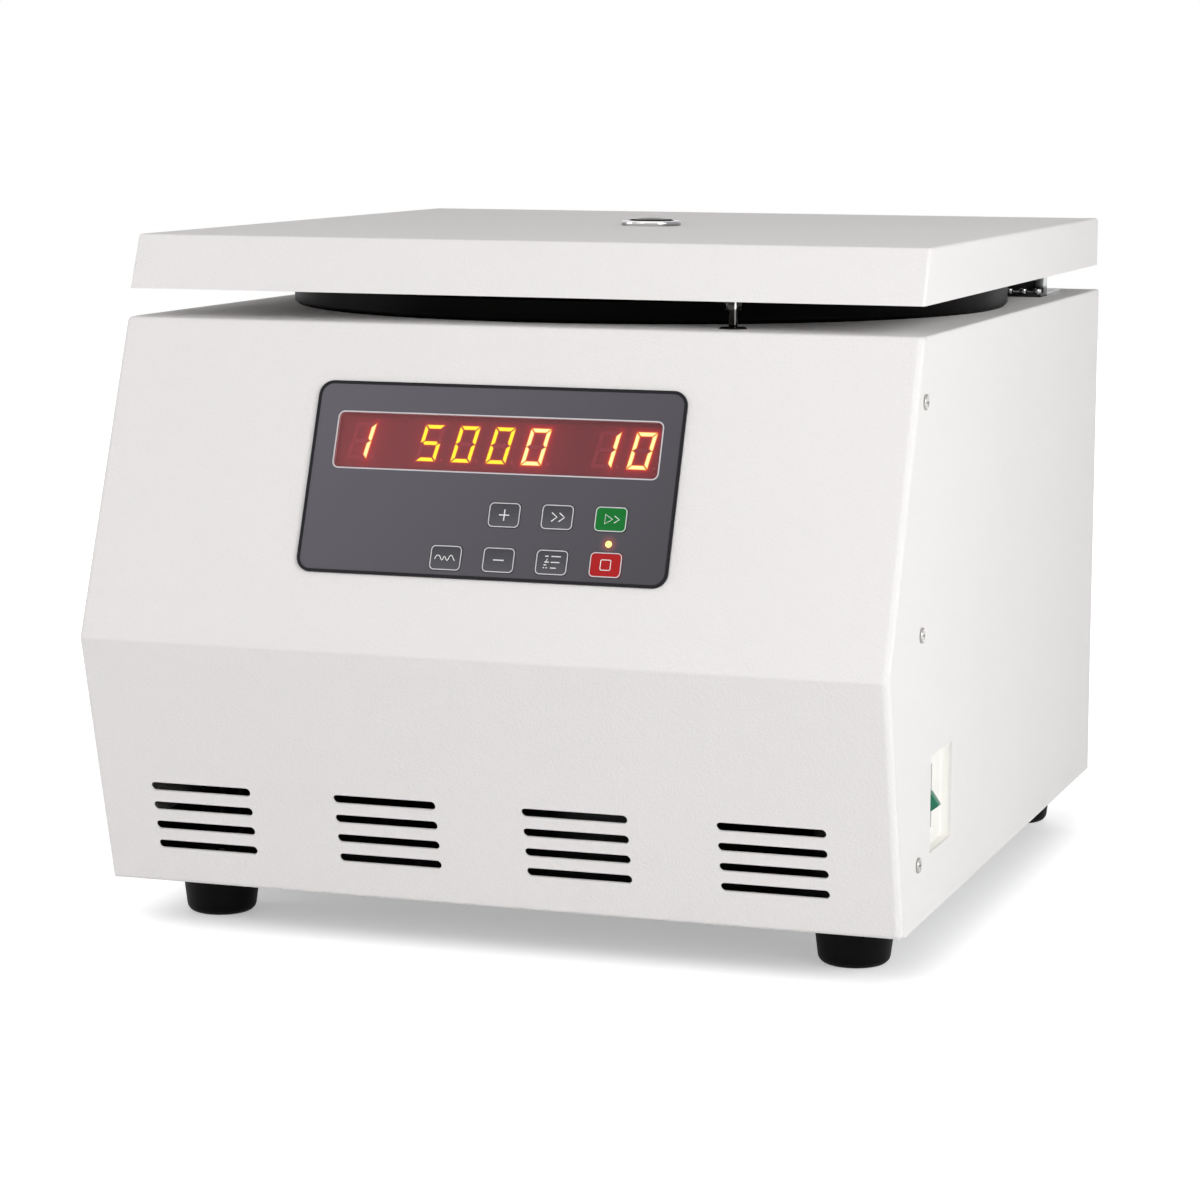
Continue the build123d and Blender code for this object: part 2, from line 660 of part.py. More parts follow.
def striker_pin():
    tip = CASE_H - STRIKER_DEPTH
    neck_top = CASE_H - NECK_TOP
    return turned([
        (0, tip),
        (STRIKER_R - 0.8, tip),
        (STRIKER_R, tip + 0.8),
        (STRIKER_R, neck_top - NECK_H),
        (STRIKER_NECK_R, neck_top - NECK_H),
        (STRIKER_NECK_R, neck_top),
        (STRIKER_R, neck_top),
        (STRIKER_R, LID_UNDER - COLLAR_H),
        (COLLAR_R, LID_UNDER - COLLAR_H),
        (COLLAR_R, LID_UNDER),
        (STUD_R, LID_UNDER),
        (STUD_R, LID_UNDER + STUD_H),
        (0, LID_UNDER + STUD_H),
    ], STRIKER_X, STRIKER_Y)


def striker_nut():
    nut = rod(LOCK_NUT_R, LINER_TOP, LINER_TOP + 3.2, STRIKER_X, STRIKER_Y)
    hexagon = Pos(STRIKER_X, STRIKER_Y, LINER_TOP) * extrude(RegularPolygon(LOCK_NUT_R, 6), 3.2)
    return (nut & hexagon) - rod(STUD_R + FIT_GAP, LID_UNDER, LID_TOP, STRIKER_X, STRIKER_Y)


def latch_escutcheon():
    top = CASE_H + ESCUTCHEON_H
    return turned([
        (STRIKER_HOLE_R, CASE_H),
        (ESCUTCHEON_R, CASE_H),
        (ESCUTCHEON_R, top - 0.6),
        (ESCUTCHEON_R - 0.6, top),
        (STRIKER_HOLE_R + 0.4, top),
        (STRIKER_HOLE_R, top - 0.4),
    ], STRIKER_X, STRIKER_Y)


def bolt_heights():
    """Bottom and top of the latch bolt, centred on the striker's neck."""
    middle = CASE_H - NECK_TOP - NECK_H / 2
    return middle - BOLT_T / 2, middle + BOLT_T / 2


def lock_housing():
    x = (STRIKER_X - LOCK_W / 2, STRIKER_X + LOCK_W / 2)
    y = (STRIKER_Y - LOCK_D / 2, STRIKER_Y + LOCK_D / 2)
    housing = block(x, y, (DECK_UNDER - LOCK_H, DECK_UNDER))
    housing -= rod(STRIKER_HOLE_R, CASE_H - STRIKER_DEPTH - 2, DECK_UNDER + 1, STRIKER_X, STRIKER_Y)
    low, high = bolt_heights()
    bolt_x = (x[0] - 1, STRIKER_X + BOLT_TRAVEL + SLIDE_GAP)
    half = BOLT_W / 2 + SLIDE_GAP
    bolt_y = (STRIKER_Y - half, STRIKER_Y + half)
    return housing - block(bolt_x, bolt_y, (low - SLIDE_GAP, high + SLIDE_GAP))


def latch_bolt():
    """Fork that slides round the striker's neck, with the solenoid's plunger behind it."""
    low, high = bolt_heights()
    tip = STRIKER_X - BOLT_TRAVEL / 2
    rear = tip - BOLT_L
    bolt_y = (STRIKER_Y - BOLT_W / 2, STRIKER_Y + BOLT_W / 2)
    bolt = block((rear, tip), bolt_y, (low, high))
    slot = STRIKER_NECK_R + SLIDE_GAP
    bolt -= block((tip - BOLT_FORK, tip + 1), (STRIKER_Y - slot, STRIKER_Y + slot), (low - 1, high + 1))
    return bolt + rod_x(PLUNGER_R, rear - PLUNGER_L, rear, STRIKER_Y, (low + high) / 2)


def latch_solenoid():
    low, high = bolt_heights()
    middle = (low + high) / 2
    right = STRIKER_X - BOLT_TRAVEL / 2 - BOLT_L - SLIDE_GAP
    x = (right - SOLENOID_L, right)
    rim_y = CHAMBER_Y - sqrt(BOWL_RIM_R ** 2 - x[0] ** 2)
    half = rim_y - SOLENOID_CLEAR - STRIKER_Y
    body = block(x, (STRIKER_Y - half, STRIKER_Y + half), (middle - half, DECK_UNDER))
    return body - rod_x(PLUNGER_R + RUN_GAP, x[0] + 3, x[1] + 1, STRIKER_Y, middle)


# ---------------------------------------------------------------- hinges

def bar_points(start, end, width):
    """Corners of a straight bar between two (Y, Z) points."""
    dy, dz = end[0] - start[0], end[1] - start[1]
    length = sqrt(dy * dy + dz * dz)
    ny, nz = -dz / length * width / 2, dy / length * width / 2
    return [
        (start[0] + ny, start[1] + nz),
        (end[0] + ny, end[1] + nz),
        (end[0] - ny, end[1] - nz),
        (start[0] - ny, start[1] - nz),
    ]


def hinge_base():
    """Flat plate on the deck with two goose-neck ears that reach up to the pivot."""
    plate_top = CASE_H + HINGE_PLATE_T
    base = block((HINGE_IN_X, HINGE_OUT_X), HINGE_PLATE_Y, (CASE_H, plate_top))
    for low in (HINGE_IN_X, HINGE_OUT_X - EAR_T):
        ear_x = (low, low + EAR_T)
        base += block(ear_x, EAR_FOOT_Y, (plate_top - 0.5, EAR_NECK[1] + 2))
        base += side_plate(bar_points((PIVOT_Y, PIVOT_Z), EAR_NECK, EAR_BAR), *ear_x)
        base += rod_x(EAR_R, *ear_x, PIVOT_Y, PIVOT_Z)
    base -= rod_x(PIN_R + RUN_GAP, HINGE_IN_X - 1, HINGE_OUT_X + 1, PIVOT_Y, PIVOT_Z)
    for x in HINGE_BOLT_X:
        base -= rod(HINGE_BOLT_SHANK_R + RUN_GAP, CASE_H - 1, plate_top + 1, x, HINGE_BOLT_Y)
    return base


def hinge_arm():
    """Block inside the lid that turns between the ears, bolted under the lid's top."""
    x = (HINGE_IN_X + EAR_T + SWING_GAP, HINGE_OUT_X - EAR_T - SWING_GAP)
    bottom = CASE_H + HINGE_PLATE_T + ARM_CLEAR
    points = [
        (ARM_FRONT_Y, LINER_TOP),
        (ARM_BOTTOM_Y[0], bottom),
        (ARM_BOTTOM_Y[1], bottom),
        ARM_REAR,
        (PIVOT_Y + EAR_R, PIVOT_Z),
        (PIVOT_Y + EAR_R, LID_INNER_TOP),
        (ARM_FRONT_Y, LID_INNER_TOP),
    ]
    arm = side_plate(points, *x) + rod_x(EAR_R, *x, PIVOT_Y, PIVOT_Z)
    return arm - rod_x(PIN_R + FIT_GAP, x[0] - 1, x[1] + 1, PIVOT_Y, PIVOT_Z)


def hinge_pin():
    low = HINGE_IN_X - SWING_GAP / 2
    high = HINGE_OUT_X + SWING_GAP / 2
    pin = rod_x(PIN_R, low, high, PIVOT_Y, PIVOT_Z)
    pin += rod_x(PIN_HEAD_R, low - PIN_HEAD_T, low, PIVOT_Y, PIVOT_Z)
    return pin + rod_x(PIN_HEAD_R, high, high + PIN_HEAD_T, PIVOT_Y, PIVOT_Z)


def hinge_bolt(x):
    seat = CASE_H + HINGE_PLATE_T
    head = rod(HINGE_BOLT_R, seat, seat + HINGE_BOLT_H, x, HINGE_BOLT_Y)
    head = fillet(head.edges().sort_by(Axis.Z)[-1], 0.6)
    head -= Pos(x, HINGE_BOLT_Y, seat + 1.4) * extrude(RegularPolygon(1.7, 6), HINGE_BOLT_H)
    return head + rod(HINGE_BOLT_SHANK_R, DECK_UNDER - 6, seat, x, HINGE_BOLT_Y)


# ---------------------------------------------------------------- motor

def motor_plate():
    half = MOTOR_PLATE_HALF
    top = MOTOR_PLATE_Z + MOTOR_PLATE_T
    y = (CHAMBER_Y - half, CHAMBER_Y + half)
    plate = block((-half, half), y, (MOTOR_PLATE_Z, top))
    uprights = plate.edges().filter_by(Axis.Z)
    return fillet(uprights, MOTOR_PLATE_R)


def motor_damper(x, y):
    body = rod(DAMPER_R, SHEET, MOTOR_PLATE_Z, x, y)
    middle = (SHEET + MOTOR_PLATE_Z) / 2
    waist = Pos(x, y, middle) * Torus(DAMPER_R + 4, 7)
    return body - waist


def motor_housing():
    foot = MOTOR_PLATE_Z + MOTOR_PLATE_T
    top = foot + MOTOR_H
    body = rod(MOTOR_R, foot, top, 0, CHAMBER_Y)
    body = fillet(body.edges().sort_by(Axis.Z)[-1], MOTOR_EDGE_R)
    body += rod(MOTOR_R + MOTOR_FOOT_OUT, foot, foot + MOTOR_FOOT_T, 0, CHAMBER_Y)
    body += rod(MOTOR_NOSE_R, top - 1, top + MOTOR_NOSE_H, 0, CHAMBER_Y)
    bore = rod(SHAFT_R + RUN_GAP, SHAFT_FOOT_Z - RUN_GAP, top + MOTOR_NOSE_H + 1, 0, CHAMBER_Y)
    return body - bore


def motor_shaft():
    yoke_top = SWING_Z + YOKE_T / 2
    shaft = rod(SHAFT_R, SHAFT_FOOT_Z, yoke_top, 0, CHAMBER_Y)
    return shaft + rod(SHAFT_THREAD_R, yoke_top - 1, yoke_top + SHAFT_TOP_H, 0, CHAMBER_Y)


def shaft_boot():
    """Rubber boot that closes the bowl's floor round the shaft."""
    nose = MOTOR_PLATE_Z + MOTOR_PLATE_T + MOTOR_H + MOTOR_NOSE_H
    floor = BOWL_FLOOR_Z + BOWL_WALL
    return turned([
        (SHAFT_R + BOOT_CLEAR, nose),
        (BOOT_R, nose),
        (BOOT_R, BOWL_FLOOR_Z),
        (BOOT_NECK_R - FIT_GAP, BOWL_FLOOR_Z),
        (BOOT_NECK_R - FIT_GAP, floor),
        (BOOT_R - 2, floor),
        (BOOT_R - 3, floor + 1.5),
        (SHAFT_R + BOOT_CLEAR + 2, floor + BOOT_H),
        (SHAFT_R + BOOT_CLEAR, floor + BOOT_H),
    ], 0, CHAMBER_Y)


# ---------------------------------------------------------------- rotor

def around(place):
    """Move from the first rotor place to the given one."""
    return Pos(0, CHAMBER_Y, 0) * Rot(0, 0, 360 * place / PLACES)


def arm_inner():
    """Distance from a place's centre line to the arm beside it."""
    return BUCKET_L / 2 + BUCKET_BOSS + ARM_GAP


def rotor_yoke():
    low, high = SWING_Z - YOKE_T / 2, SWING_Z + YOKE_T / 2
    near = arm_inner()
    far = near + ARM_W
    reach = SWING_R + ARM_END
    yoke = rod(HUB_R, HUB_FOOT_Z, high)
    spoke_l = (near + ARM_W / 2) * sqrt(2)
    for place in range(PLACES):
        turn = Rot(0, 0, 360 * place / PLACES)
        spoke = Rot(0, 0, 45) * block((0, spoke_l), (-ARM_W / 2, ARM_W / 2), (low, high))
        yoke += turn * spoke
        for y in ((-far, -near), (near, far)):
            branch = block((near, reach), y, (low, high))
            yoke += turn * branch
    yoke -= rod(SHAFT_R + FIT_GAP, HUB_FOOT_Z - 1, high + 1)
    for place in range(PLACES):
        bore = rod_y(TRUNNION_R + FIT_GAP, -far - 1, far + 1, SWING_R, SWING_Z)
        for side in (-1, 1):
            half = block((SWING_R - 5, SWING_R + 5), sorted((side * near, side * (far + 1))), (low, high))
            yoke -= Rot(0, 0, 360 * place / PLACES) * (bore & half)
    return Pos(0, CHAMBER_Y, 0) * yoke


def trunnion_pins():
    near = BUCKET_L / 2 - 1.2
    far = arm_inner() + ARM_W
    pins = []
    for place in range(PLACES):
        for side in (-1, 1):
            span = sorted((side * near, side * far))
            pins.append(around(place) * rod_y(TRUNNION_R, *span, SWING_R, SWING_Z))
    return pins


def rotor_nut():
    low = SWING_Z + YOKE_T / 2
    nut = rod(ROTOR_NUT_R, low, low + ROTOR_NUT_H, 0, CHAMBER_Y)
    nut = fillet(nut.edges().sort_by(Axis.Z)[-1], 2)
    for turn in range(12):
        angle = radians(30 * turn)
        x = (ROTOR_NUT_R + 1) * cos(angle)
        y = CHAMBER_Y + (ROTOR_NUT_R + 1) * sin(angle)
        nut -= rod(2.2, low + 4, low + ROTOR_NUT_H + 1, x, y)
    return nut - rod(SHAFT_THREAD_R + FIT_GAP, low - 1, low + SHAFT_TOP_H + 1, 0, CHAMBER_Y)


def bucket(place):
    low = SWING_Z - BUCKET_BELOW
    high = SWING_Z + BUCKET_ABOVE
    x = (SWING_R - BUCKET_W / 2, SWING_R + BUCKET_W / 2)
    y = (-BUCKET_L / 2, BUCKET_L / 2)
    body = block(x, y, (low, high))
    body = fillet(body.edges().filter_by(Axis.Z), BUCKET_CORNER_R)
    body = fillet(body.edges().sort_by(Axis.Z)[:1], 1.5)
    half_w = (PLATE_W + PLATE_CLEAR) / 2
    half_l = (PLATE_L + PLATE_CLEAR) / 2
    cavity = block(
        (SWING_R - half_w, SWING_R + half_w), (-half_l, half_l), (low + BUCKET_FLOOR, high + 1)
    )
    body -= fillet(cavity.edges().filter_by(Axis.Z), BUCKET_CORNER_R - 2)
    for side in (-1, 1):
        outer = side * (BUCKET_L / 2 + BUCKET_BOSS)
        boss = rod_y(BUCKET_BOSS_R, *sorted((side * (BUCKET_L / 2 - 0.5), outer)), SWING_R, SWING_Z)
        body += boss
        socket = sorted((side * (BUCKET_L / 2 - 1.5), outer + side))
        body -= rod_y(TRUNNION_R + RUN_GAP, *socket, SWING_R, SWING_Z)
    return around(place) * body


# ---------------------------------------------------------------- control panel

def on_panel(x, s, solid):
    """Put a piece drawn flat onto the upper slope; its +Z points out of the panel."""
    return UPPER_FACE * Pos(x, s, 0) * solid


def control_overlay():
    height = OVERLAY_S[1] - OVERLAY_S[0]
    middle = sum(OVERLAY_S) / 2
    overlay = on_panel(0, middle, rounded(2 * OVERLAY_HALF_W, height, OVERLAY_R, 0, OVERLAY_T))
    display_h = DISPLAY_S[1] - DISPLAY_S[0] + 2 * FIT_GAP
    window = rounded(2 * DISPLAY_HALF_W + 2 * FIT_GAP, display_h, DISPLAY_R, -1, 2)
    overlay -= on_panel(DISPLAY_X, sum(DISPLAY_S) / 2, window)
    key_hole = rounded(KEY_W + 2 * SLIDE_GAP, KEY_H + 2 * SLIDE_GAP, KEY_R + SLIDE_GAP, -1, 2)
    for x, s in KEYS.values():
        overlay -= on_panel(x, s, key_hole)
    return overlay - on_panel(*LED_AT, Cylinder(LED_R + FIT_GAP, 4))


def display_window():
    height = DISPLAY_S[1] - DISPLAY_S[0]
    pane = rounded(2 * DISPLAY_HALF_W, height, DISPLAY_R, -SHEET, OVERLAY_T)
    wide = 2 * (DISPLAY_HALF_W + DISPLAY_FLANGE)
    flange = rounded(wide, height + 2 * DISPLAY_FLANGE, DISPLAY_R, -SHEET - 1.5, -SHEET)
    return on_panel(DISPLAY_X, sum(DISPLAY_S) / 2, pane + flange)


def display_digits():
    middle = sum(DISPLAY_S) / 2
    digit = block((-DIGIT_W / 2, DIGIT_W / 2), (-DIGIT_H / 2, DIGIT_H / 2), (-BOARD_DEPTH, DIGIT_T - BOARD_DEPTH))
    return [on_panel(x + DIGIT_SHIFT, middle, digit) for x in DIGIT_X]


def control_board():
    """Circuit board on four posts, with a dome switch behind each key."""
    x = OVERLAY_HALF_W - BOARD_MARGIN
    s = (OVERLAY_S[0] + BOARD_MARGIN, OVERLAY_S[1] - BOARD_MARGIN)
    board = block((-x, x), s, (-BOARD_DEPTH - BOARD_T, -BOARD_DEPTH))
    for post_x in (POST_INSET - x, x - POST_INSET):
        for post_s in (s[0] + POST_INSET, s[1] - POST_INSET):
            board += rod(POST_R, -BOARD_DEPTH - 0.5, -SHEET, post_x, post_s)
    for key_x, key_s in KEYS.values():
        board += rod(DOME_R, -BOARD_DEPTH - 0.5, DOME_T - BOARD_DEPTH, key_x, key_s)
    return UPPER_FACE * board


def key(x, s):
    top = OVERLAY_T + KEY_PROUD
    back = -SHEET - SEAM / 3
    cap = rounded(KEY_W, KEY_H, KEY_R, back, top)
    flange_w, flange_h = KEY_W + 2 * KEY_FLANGE, KEY_H + 2 * KEY_FLANGE
    flange = rounded(flange_w, flange_h, KEY_R, back - KEY_FLANGE_T, back)
    stem_foot = DOME_T - BOARD_DEPTH + KEY_TRAVEL + 0.05
    stem = rod(KEY_STEM_R, stem_foot, back - KEY_FLANGE_T / 2)
    return on_panel(x, s, cap + flange + stem)


def status_led():
    body = rod(LED_R, -BOARD_DEPTH, OVERLAY_T + LED_PROUD)
    return on_panel(*LED_AT, fillet(body.edges().sort_by(Axis.Z)[-1], LED_PROUD))


# ---------------------------------------------------------------- power switch

def switch_middle():
    return sum(SWITCH_Y) / 2, sum(SWITCH_Z) / 2


def switch_body():
    """Moulded switch behind the window, with the recess that shields its lever."""
    middle_y, middle_z = switch_middle()
    y = (SWITCH_Y[0] - SWITCH_WALL, SWITCH_Y[1] + SWITCH_WALL)
    z = (SWITCH_Z[0] - SWITCH_WALL, SWITCH_Z[1] + SWITCH_WALL)
    body = block((SKIN_X - SWITCH_DEPTH, SKIN_X), y, z)
    body -= block((SWITCH_FACE_X, SKIN_X + 1), SWITCH_Y, SWITCH_Z)
    half_w, half_h = LEVER_SLOT_W / 2, LEVER_SLOT_H / 2
    cavity_x = (SWITCH_FACE_X - LEVER_PIVOT_IN - LEVER_HUB_R - 2, SWITCH_FACE_X + 1)
    slot_y = (middle_y - half_w, middle_y + half_w)
    body -= block(cavity_x, slot_y, (middle_z - half_h, middle_z + half_h))
    pivot_x = SWITCH_FACE_X - LEVER_PIVOT_IN
    return body + rod_y(LEVER_PIN_R, *slot_y, pivot_x, middle_z)


def switch_lever():
    """Wedge-shaped lever, drawn in its lower place, turning about a pin along Y."""
    middle_y, middle_z = switch_middle()
    pivot_x = SWITCH_FACE_X - LEVER_PIVOT_IN
    points = [
        (pivot_x, middle_z + LEVER_HUB_R),
        (SWITCH_FACE_X + 0.6, LEVER_ROOT_Z),
        (LEVER_TIP_X - 0.4, LEVER_TIP_Z + 1.6),
        (LEVER_TIP_X, LEVER_TIP_Z + 0.6),
        (LEVER_TIP_X - 0.6, LEVER_TIP_Z),
        (SWITCH_FACE_X, LEVER_FOOT_Z),
        (pivot_x, middle_z - LEVER_HUB_R),
    ]
    outline = Plane.XZ.offset(-middle_y) * Polygon(*points, align=None)
    lever = extrude(outline, LEVER_W / 2, both=True)
    span = (middle_y - LEVER_W / 2, middle_y + LEVER_W / 2)
    lever += rod_y(LEVER_HUB_R, *span, pivot_x, middle_z)
    return lever - rod_y(LEVER_PIN_R + RUN_GAP, span[0] - 1, span[1] + 1, pivot_x, middle_z)


# ---------------------------------------------------------------- rear

def fan_spans():
    """Y of the fan frame's front and rear faces."""
    rear = CASE_D - SHEET
    return rear - FAN_T, rear


def fan_frame():
    front, rear = fan_spans()
    half = FAN_SIZE / 2
    frame = block((FAN_X - half, FAN_X + half), (front, rear), (FAN_Z - half, FAN_Z + half))
    frame = fillet(frame.edges().filter_by(Axis.Y), 6)
    frame -= rod_y(FAN_BORE_R, front - 1, rear + 1, FAN_X, FAN_Z)
    frame += rod_y(FAN_HUB_R, front, front + FAN_STRUT_T, FAN_X, FAN_Z)
    for turn in (45, 135):
        strut = Box(2 * FAN_BORE_R + 2, FAN_STRUT_T, FAN_STRUT_W)
        frame += Pos(FAN_X, front + FAN_STRUT_T / 2, FAN_Z) * Rot(0, turn, 0) * strut
    return frame + rod_y(FAN_PIN_R, front, front + FAN_STRUT_T + FAN_HUB_T / 2, FAN_X, FAN_Z)


def fan_impeller():
    front = fan_spans()[0] + FAN_STRUT_T + SWING_GAP / 2
    wheel = rod_y(FAN_HUB_R - 1, front, front + FAN_HUB_T, FAN_X, FAN_Z)
    middle = front + FAN_HUB_T / 2
    blade_l = FAN_BLADE_R - FAN_HUB_R + 4
    for turn in range(FAN_BLADES):
        blade = Rot(FAN_BLADE_TILT, 0, 0) * Box(blade_l, FAN_BLADE_T, FAN_BLADE_DEPTH)
        out = Pos(FAN_BLADE_R - blade_l / 2, 0, 0) * blade
        wheel += Pos(FAN_X, middle, FAN_Z) * Rot(0, 360 * turn / FAN_BLADES, 0) * out
    pin_end = fan_spans()[0] + FAN_STRUT_T + FAN_HUB_T / 2 + SWING_GAP / 2
    return wheel - rod_y(FAN_PIN_R + RUN_GAP, front - 1, pin_end, FAN_X, FAN_Z)


def fan_guard():
    """Wire guard outside the rear panel."""
    bar_y = CASE_D + GUARD_WIRE_R
    ring_y = CASE_D + 2.5 * GUARD_WIRE_R
    guard = None
    for turn in (0, 90):
        bar = Rot(0, turn, 0) * Rot(0, 90, 0) * Cylinder(GUARD_WIRE_R, 2 * GUARD_RINGS[-1])
        bar = Pos(FAN_X, bar_y, FAN_Z) * Rot(0, 45, 0) * bar
        guard = bar if guard is None else guard + bar
    for ring_r in GUARD_RINGS:
        guard += Pos(FAN_X, ring_y, FAN_Z) * Rot(90, 0, 0) * Torus(ring_r, GUARD_WIRE_R)
    return guard


def mains_inlet():
    """Mains inlet with a fuse drawer above its socket."""
    half_w, half_h = INLET_W / 2, INLET_H / 2
    x = (INLET_X - half_w, INLET_X + half_w)
    z = (INLET_Z - half_h, INLET_Z + half_h)
    face = CASE_D + REAR_PROUD
    body = block(x, (CASE_D - INLET_T, CASE_D + 1), z)
    flange_x = (x[0] - INLET_FLANGE, x[1] + INLET_FLANGE)
    flange_z = (z[0] - INLET_FLANGE, z[1] + INLET_FLANGE)
    body += block(flange_x, (CASE_D, face), flange_z)
    socket_z = INLET_Z - SOCKET_Z
    socket_x = (INLET_X - SOCKET_W / 2, INLET_X + SOCKET_W / 2)
    socket_h = (socket_z - SOCKET_H / 2, socket_z + SOCKET_H / 2)
    body -= block(socket_x, (face - SOCKET_T, face + 1), socket_h)
    for column in (-1, 0, 1):
        pin_x = INLET_X + column * BLADE_PITCH
        pin_z = socket_z + (2.0 if column == 0 else -2.0)
        half = (BLADE_PIN_W / 2, BLADE_PIN_H / 2)
        body += block(
            (pin_x - half[0], pin_x + half[0]),
            (face - SOCKET_T - 1, face - SOCKET_T + BLADE_L),
            (pin_z - half[1], pin_z + half[1]),
        )
    return body


def motor_drive():
    """Motor drive: base plate with a row of cooling fins."""
    base_top = SHEET + DRIVE_BASE_T
    drive = block(DRIVE_X, DRIVE_Y, (SHEET, base_top))
    pitch = (DRIVE_X[1] - DRIVE_X[0] - DRIVE_FIN_T) / (DRIVE_FINS - 1)
    for fin in range(DRIVE_FINS):
        low = DRIVE_X[0] + fin * pitch
        drive += block((low, low + DRIVE_FIN_T), DRIVE_Y, (SHEET, base_top + DRIVE_FIN_H))
    return drive


# ---------------------------------------------------------------- write the nodes

save("front_panel", front_panel())
save("outer_cover", outer_cover())
save("base_tray", base_tray())
save("rear_panel", rear_panel())
for end, row in (("front", foot_places()[:2]), ("rear", foot_places()[2:])):
    for side, (foot_x, foot_y) in zip(("left", "right"), row):
        save(f"foot_{end}_{side}", foot(foot_x, foot_y))
save("foot_screws", *[foot_screw(x, y) for x, y in foot_places()])
save("side_screws", *[side_screw(side, z) for side in SIDES.values() for z in SIDE_SCREW_Z])
save("chamber_bowl", chamber_bowl())
save("chamber_seal", chamber_seal())
save("lid_shell", lid_shell())
save("lid_liner", lid_liner())
save("porthole_bezel", porthole_bezel())
save("porthole_glass", porthole_glass())
save("porthole_nut", porthole_nut())
save("striker_pin", striker_pin())
save("striker_nut", striker_nut())
save("latch_escutcheon", latch_escutcheon())
save("lock_housing", lock_housing())
save("latch_bolt", latch_bolt())
save("latch_solenoid", latch_solenoid())
save("hinge_base_right", hinge_base())
save("hinge_base_left", mirrored(hinge_base()))
save("hinge_arm_right", hinge_arm())
save("hinge_arm_left", mirrored(hinge_arm()))
save("hinge_pins", hinge_pin(), mirrored(hinge_pin()))
save("hinge_bolts", *[hinge_bolt(side * x) for side in SIDES.values() for x in HINGE_BOLT_X])
save("motor_plate", motor_plate())
damper_places = [(x, CHAMBER_Y + y) for x in (-DAMPER_AT, DAMPER_AT) for y in (-DAMPER_AT, DAMPER_AT)]
save("motor_dampers", *[motor_damper(x, y) for x, y in damper_places])
save("motor_housing", motor_housing())
save("motor_shaft", motor_shaft())
save("shaft_boot", shaft_boot())
save("rotor_yoke", rotor_yoke())
save("trunnion_pins", *trunnion_pins())
save("rotor_nut", rotor_nut())
for number in range(PLACES):
    save(f"bucket_{number + 1}", bucket(number))
save("control_overlay", control_overlay())
save("display_window", display_window())
save("display_digits", *display_digits())
save("control_board", control_board())
for key_name, (key_x, key_s) in KEYS.items():
    save(key_name, key(key_x, key_s))
save("status_led", status_led())
save("switch_body", switch_body())
save("switch_lever", switch_lever())
save("fan_frame", fan_frame())
save("fan_impeller", fan_impeller())
save("fan_guard", fan_guard())
save("mains_inlet", mains_inlet())
save("motor_drive", motor_drive())
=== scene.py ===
import json
import math

import bpy
from mathutils import Matrix, Vector


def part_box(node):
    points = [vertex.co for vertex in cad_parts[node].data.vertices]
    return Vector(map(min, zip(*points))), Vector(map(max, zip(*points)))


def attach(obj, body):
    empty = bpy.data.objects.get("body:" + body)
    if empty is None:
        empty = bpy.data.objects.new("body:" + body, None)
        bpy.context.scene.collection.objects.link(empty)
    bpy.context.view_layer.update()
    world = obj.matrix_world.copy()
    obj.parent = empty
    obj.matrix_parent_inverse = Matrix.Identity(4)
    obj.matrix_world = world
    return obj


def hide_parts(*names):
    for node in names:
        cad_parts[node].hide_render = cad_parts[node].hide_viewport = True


# Looks of the microplate centrifuge. Lengths named in millimetres are turned into metres by MM.

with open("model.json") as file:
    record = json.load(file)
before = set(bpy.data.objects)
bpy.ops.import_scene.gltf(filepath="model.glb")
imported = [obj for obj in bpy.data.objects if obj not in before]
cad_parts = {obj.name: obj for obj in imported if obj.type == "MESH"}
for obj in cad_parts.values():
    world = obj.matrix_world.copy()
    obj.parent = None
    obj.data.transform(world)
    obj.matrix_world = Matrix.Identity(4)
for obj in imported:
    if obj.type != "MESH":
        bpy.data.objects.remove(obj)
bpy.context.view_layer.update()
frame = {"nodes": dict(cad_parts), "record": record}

MM = 0.001

# ---- camera
FRAME_PX = 1200
FOCAL_PX = 3564.97
SENSOR = 36.0
CAMERA_TURN = 18.603
CAMERA_DOWN = 8.198
CAMERA_ROLL = 0.209
CAMERA_DISTANCE = 1738.84 * MM
CAMERA_TARGET = Vector((89.3, -319.41, 207.5)) * MM

# ---- the sloping panel: its bend line and its top edge, as (Y, Z)
BEND = (-266.0, 164.8)
SLOPE_TOP = (-202.5, 331.3)
OVERLAY_HALF_W = 101.8
OVERLAY_S = (42.1, 146.0)
OVERLAY_R = 8.0
OVERLAY_T = 0.8
OVERLAY_RIM_W = 1.7
OVERLAY_RIM_H = 0.35
OVERLAY_RIM_EDGE = 0.16
DISPLAY_X = 0.8
DISPLAY_HALF_W = 89.3
DISPLAY_S = (99.0, 129.1)
DISPLAY_R = 3.0
DISPLAY_LINE = 0.7
DISPLAY_LINE_OUT = 0.6     # how far the printed line reaches round the window
PANE_T = 2.3
KEY_SIZE = (17.0, 13.0)
KEY_RING_R = 2.5
KEY_TOP = 1.1
KEY_RING_LINE = 0.52
PRINT_T = 0.1
LED_AT = (68.4, 64.0)
KEY_AT = {
    "key_plus": (10.3, 76.8),
    "key_spin": (39.2, 76.9),
    "key_start": (68.1, 77.0),
    "key_ramp": (-18.8, 52.8),
    "key_minus": (10.2, 52.9),
    "key_set": (39.1, 53.0),
    "key_stop": (68.1, 53.0),
}

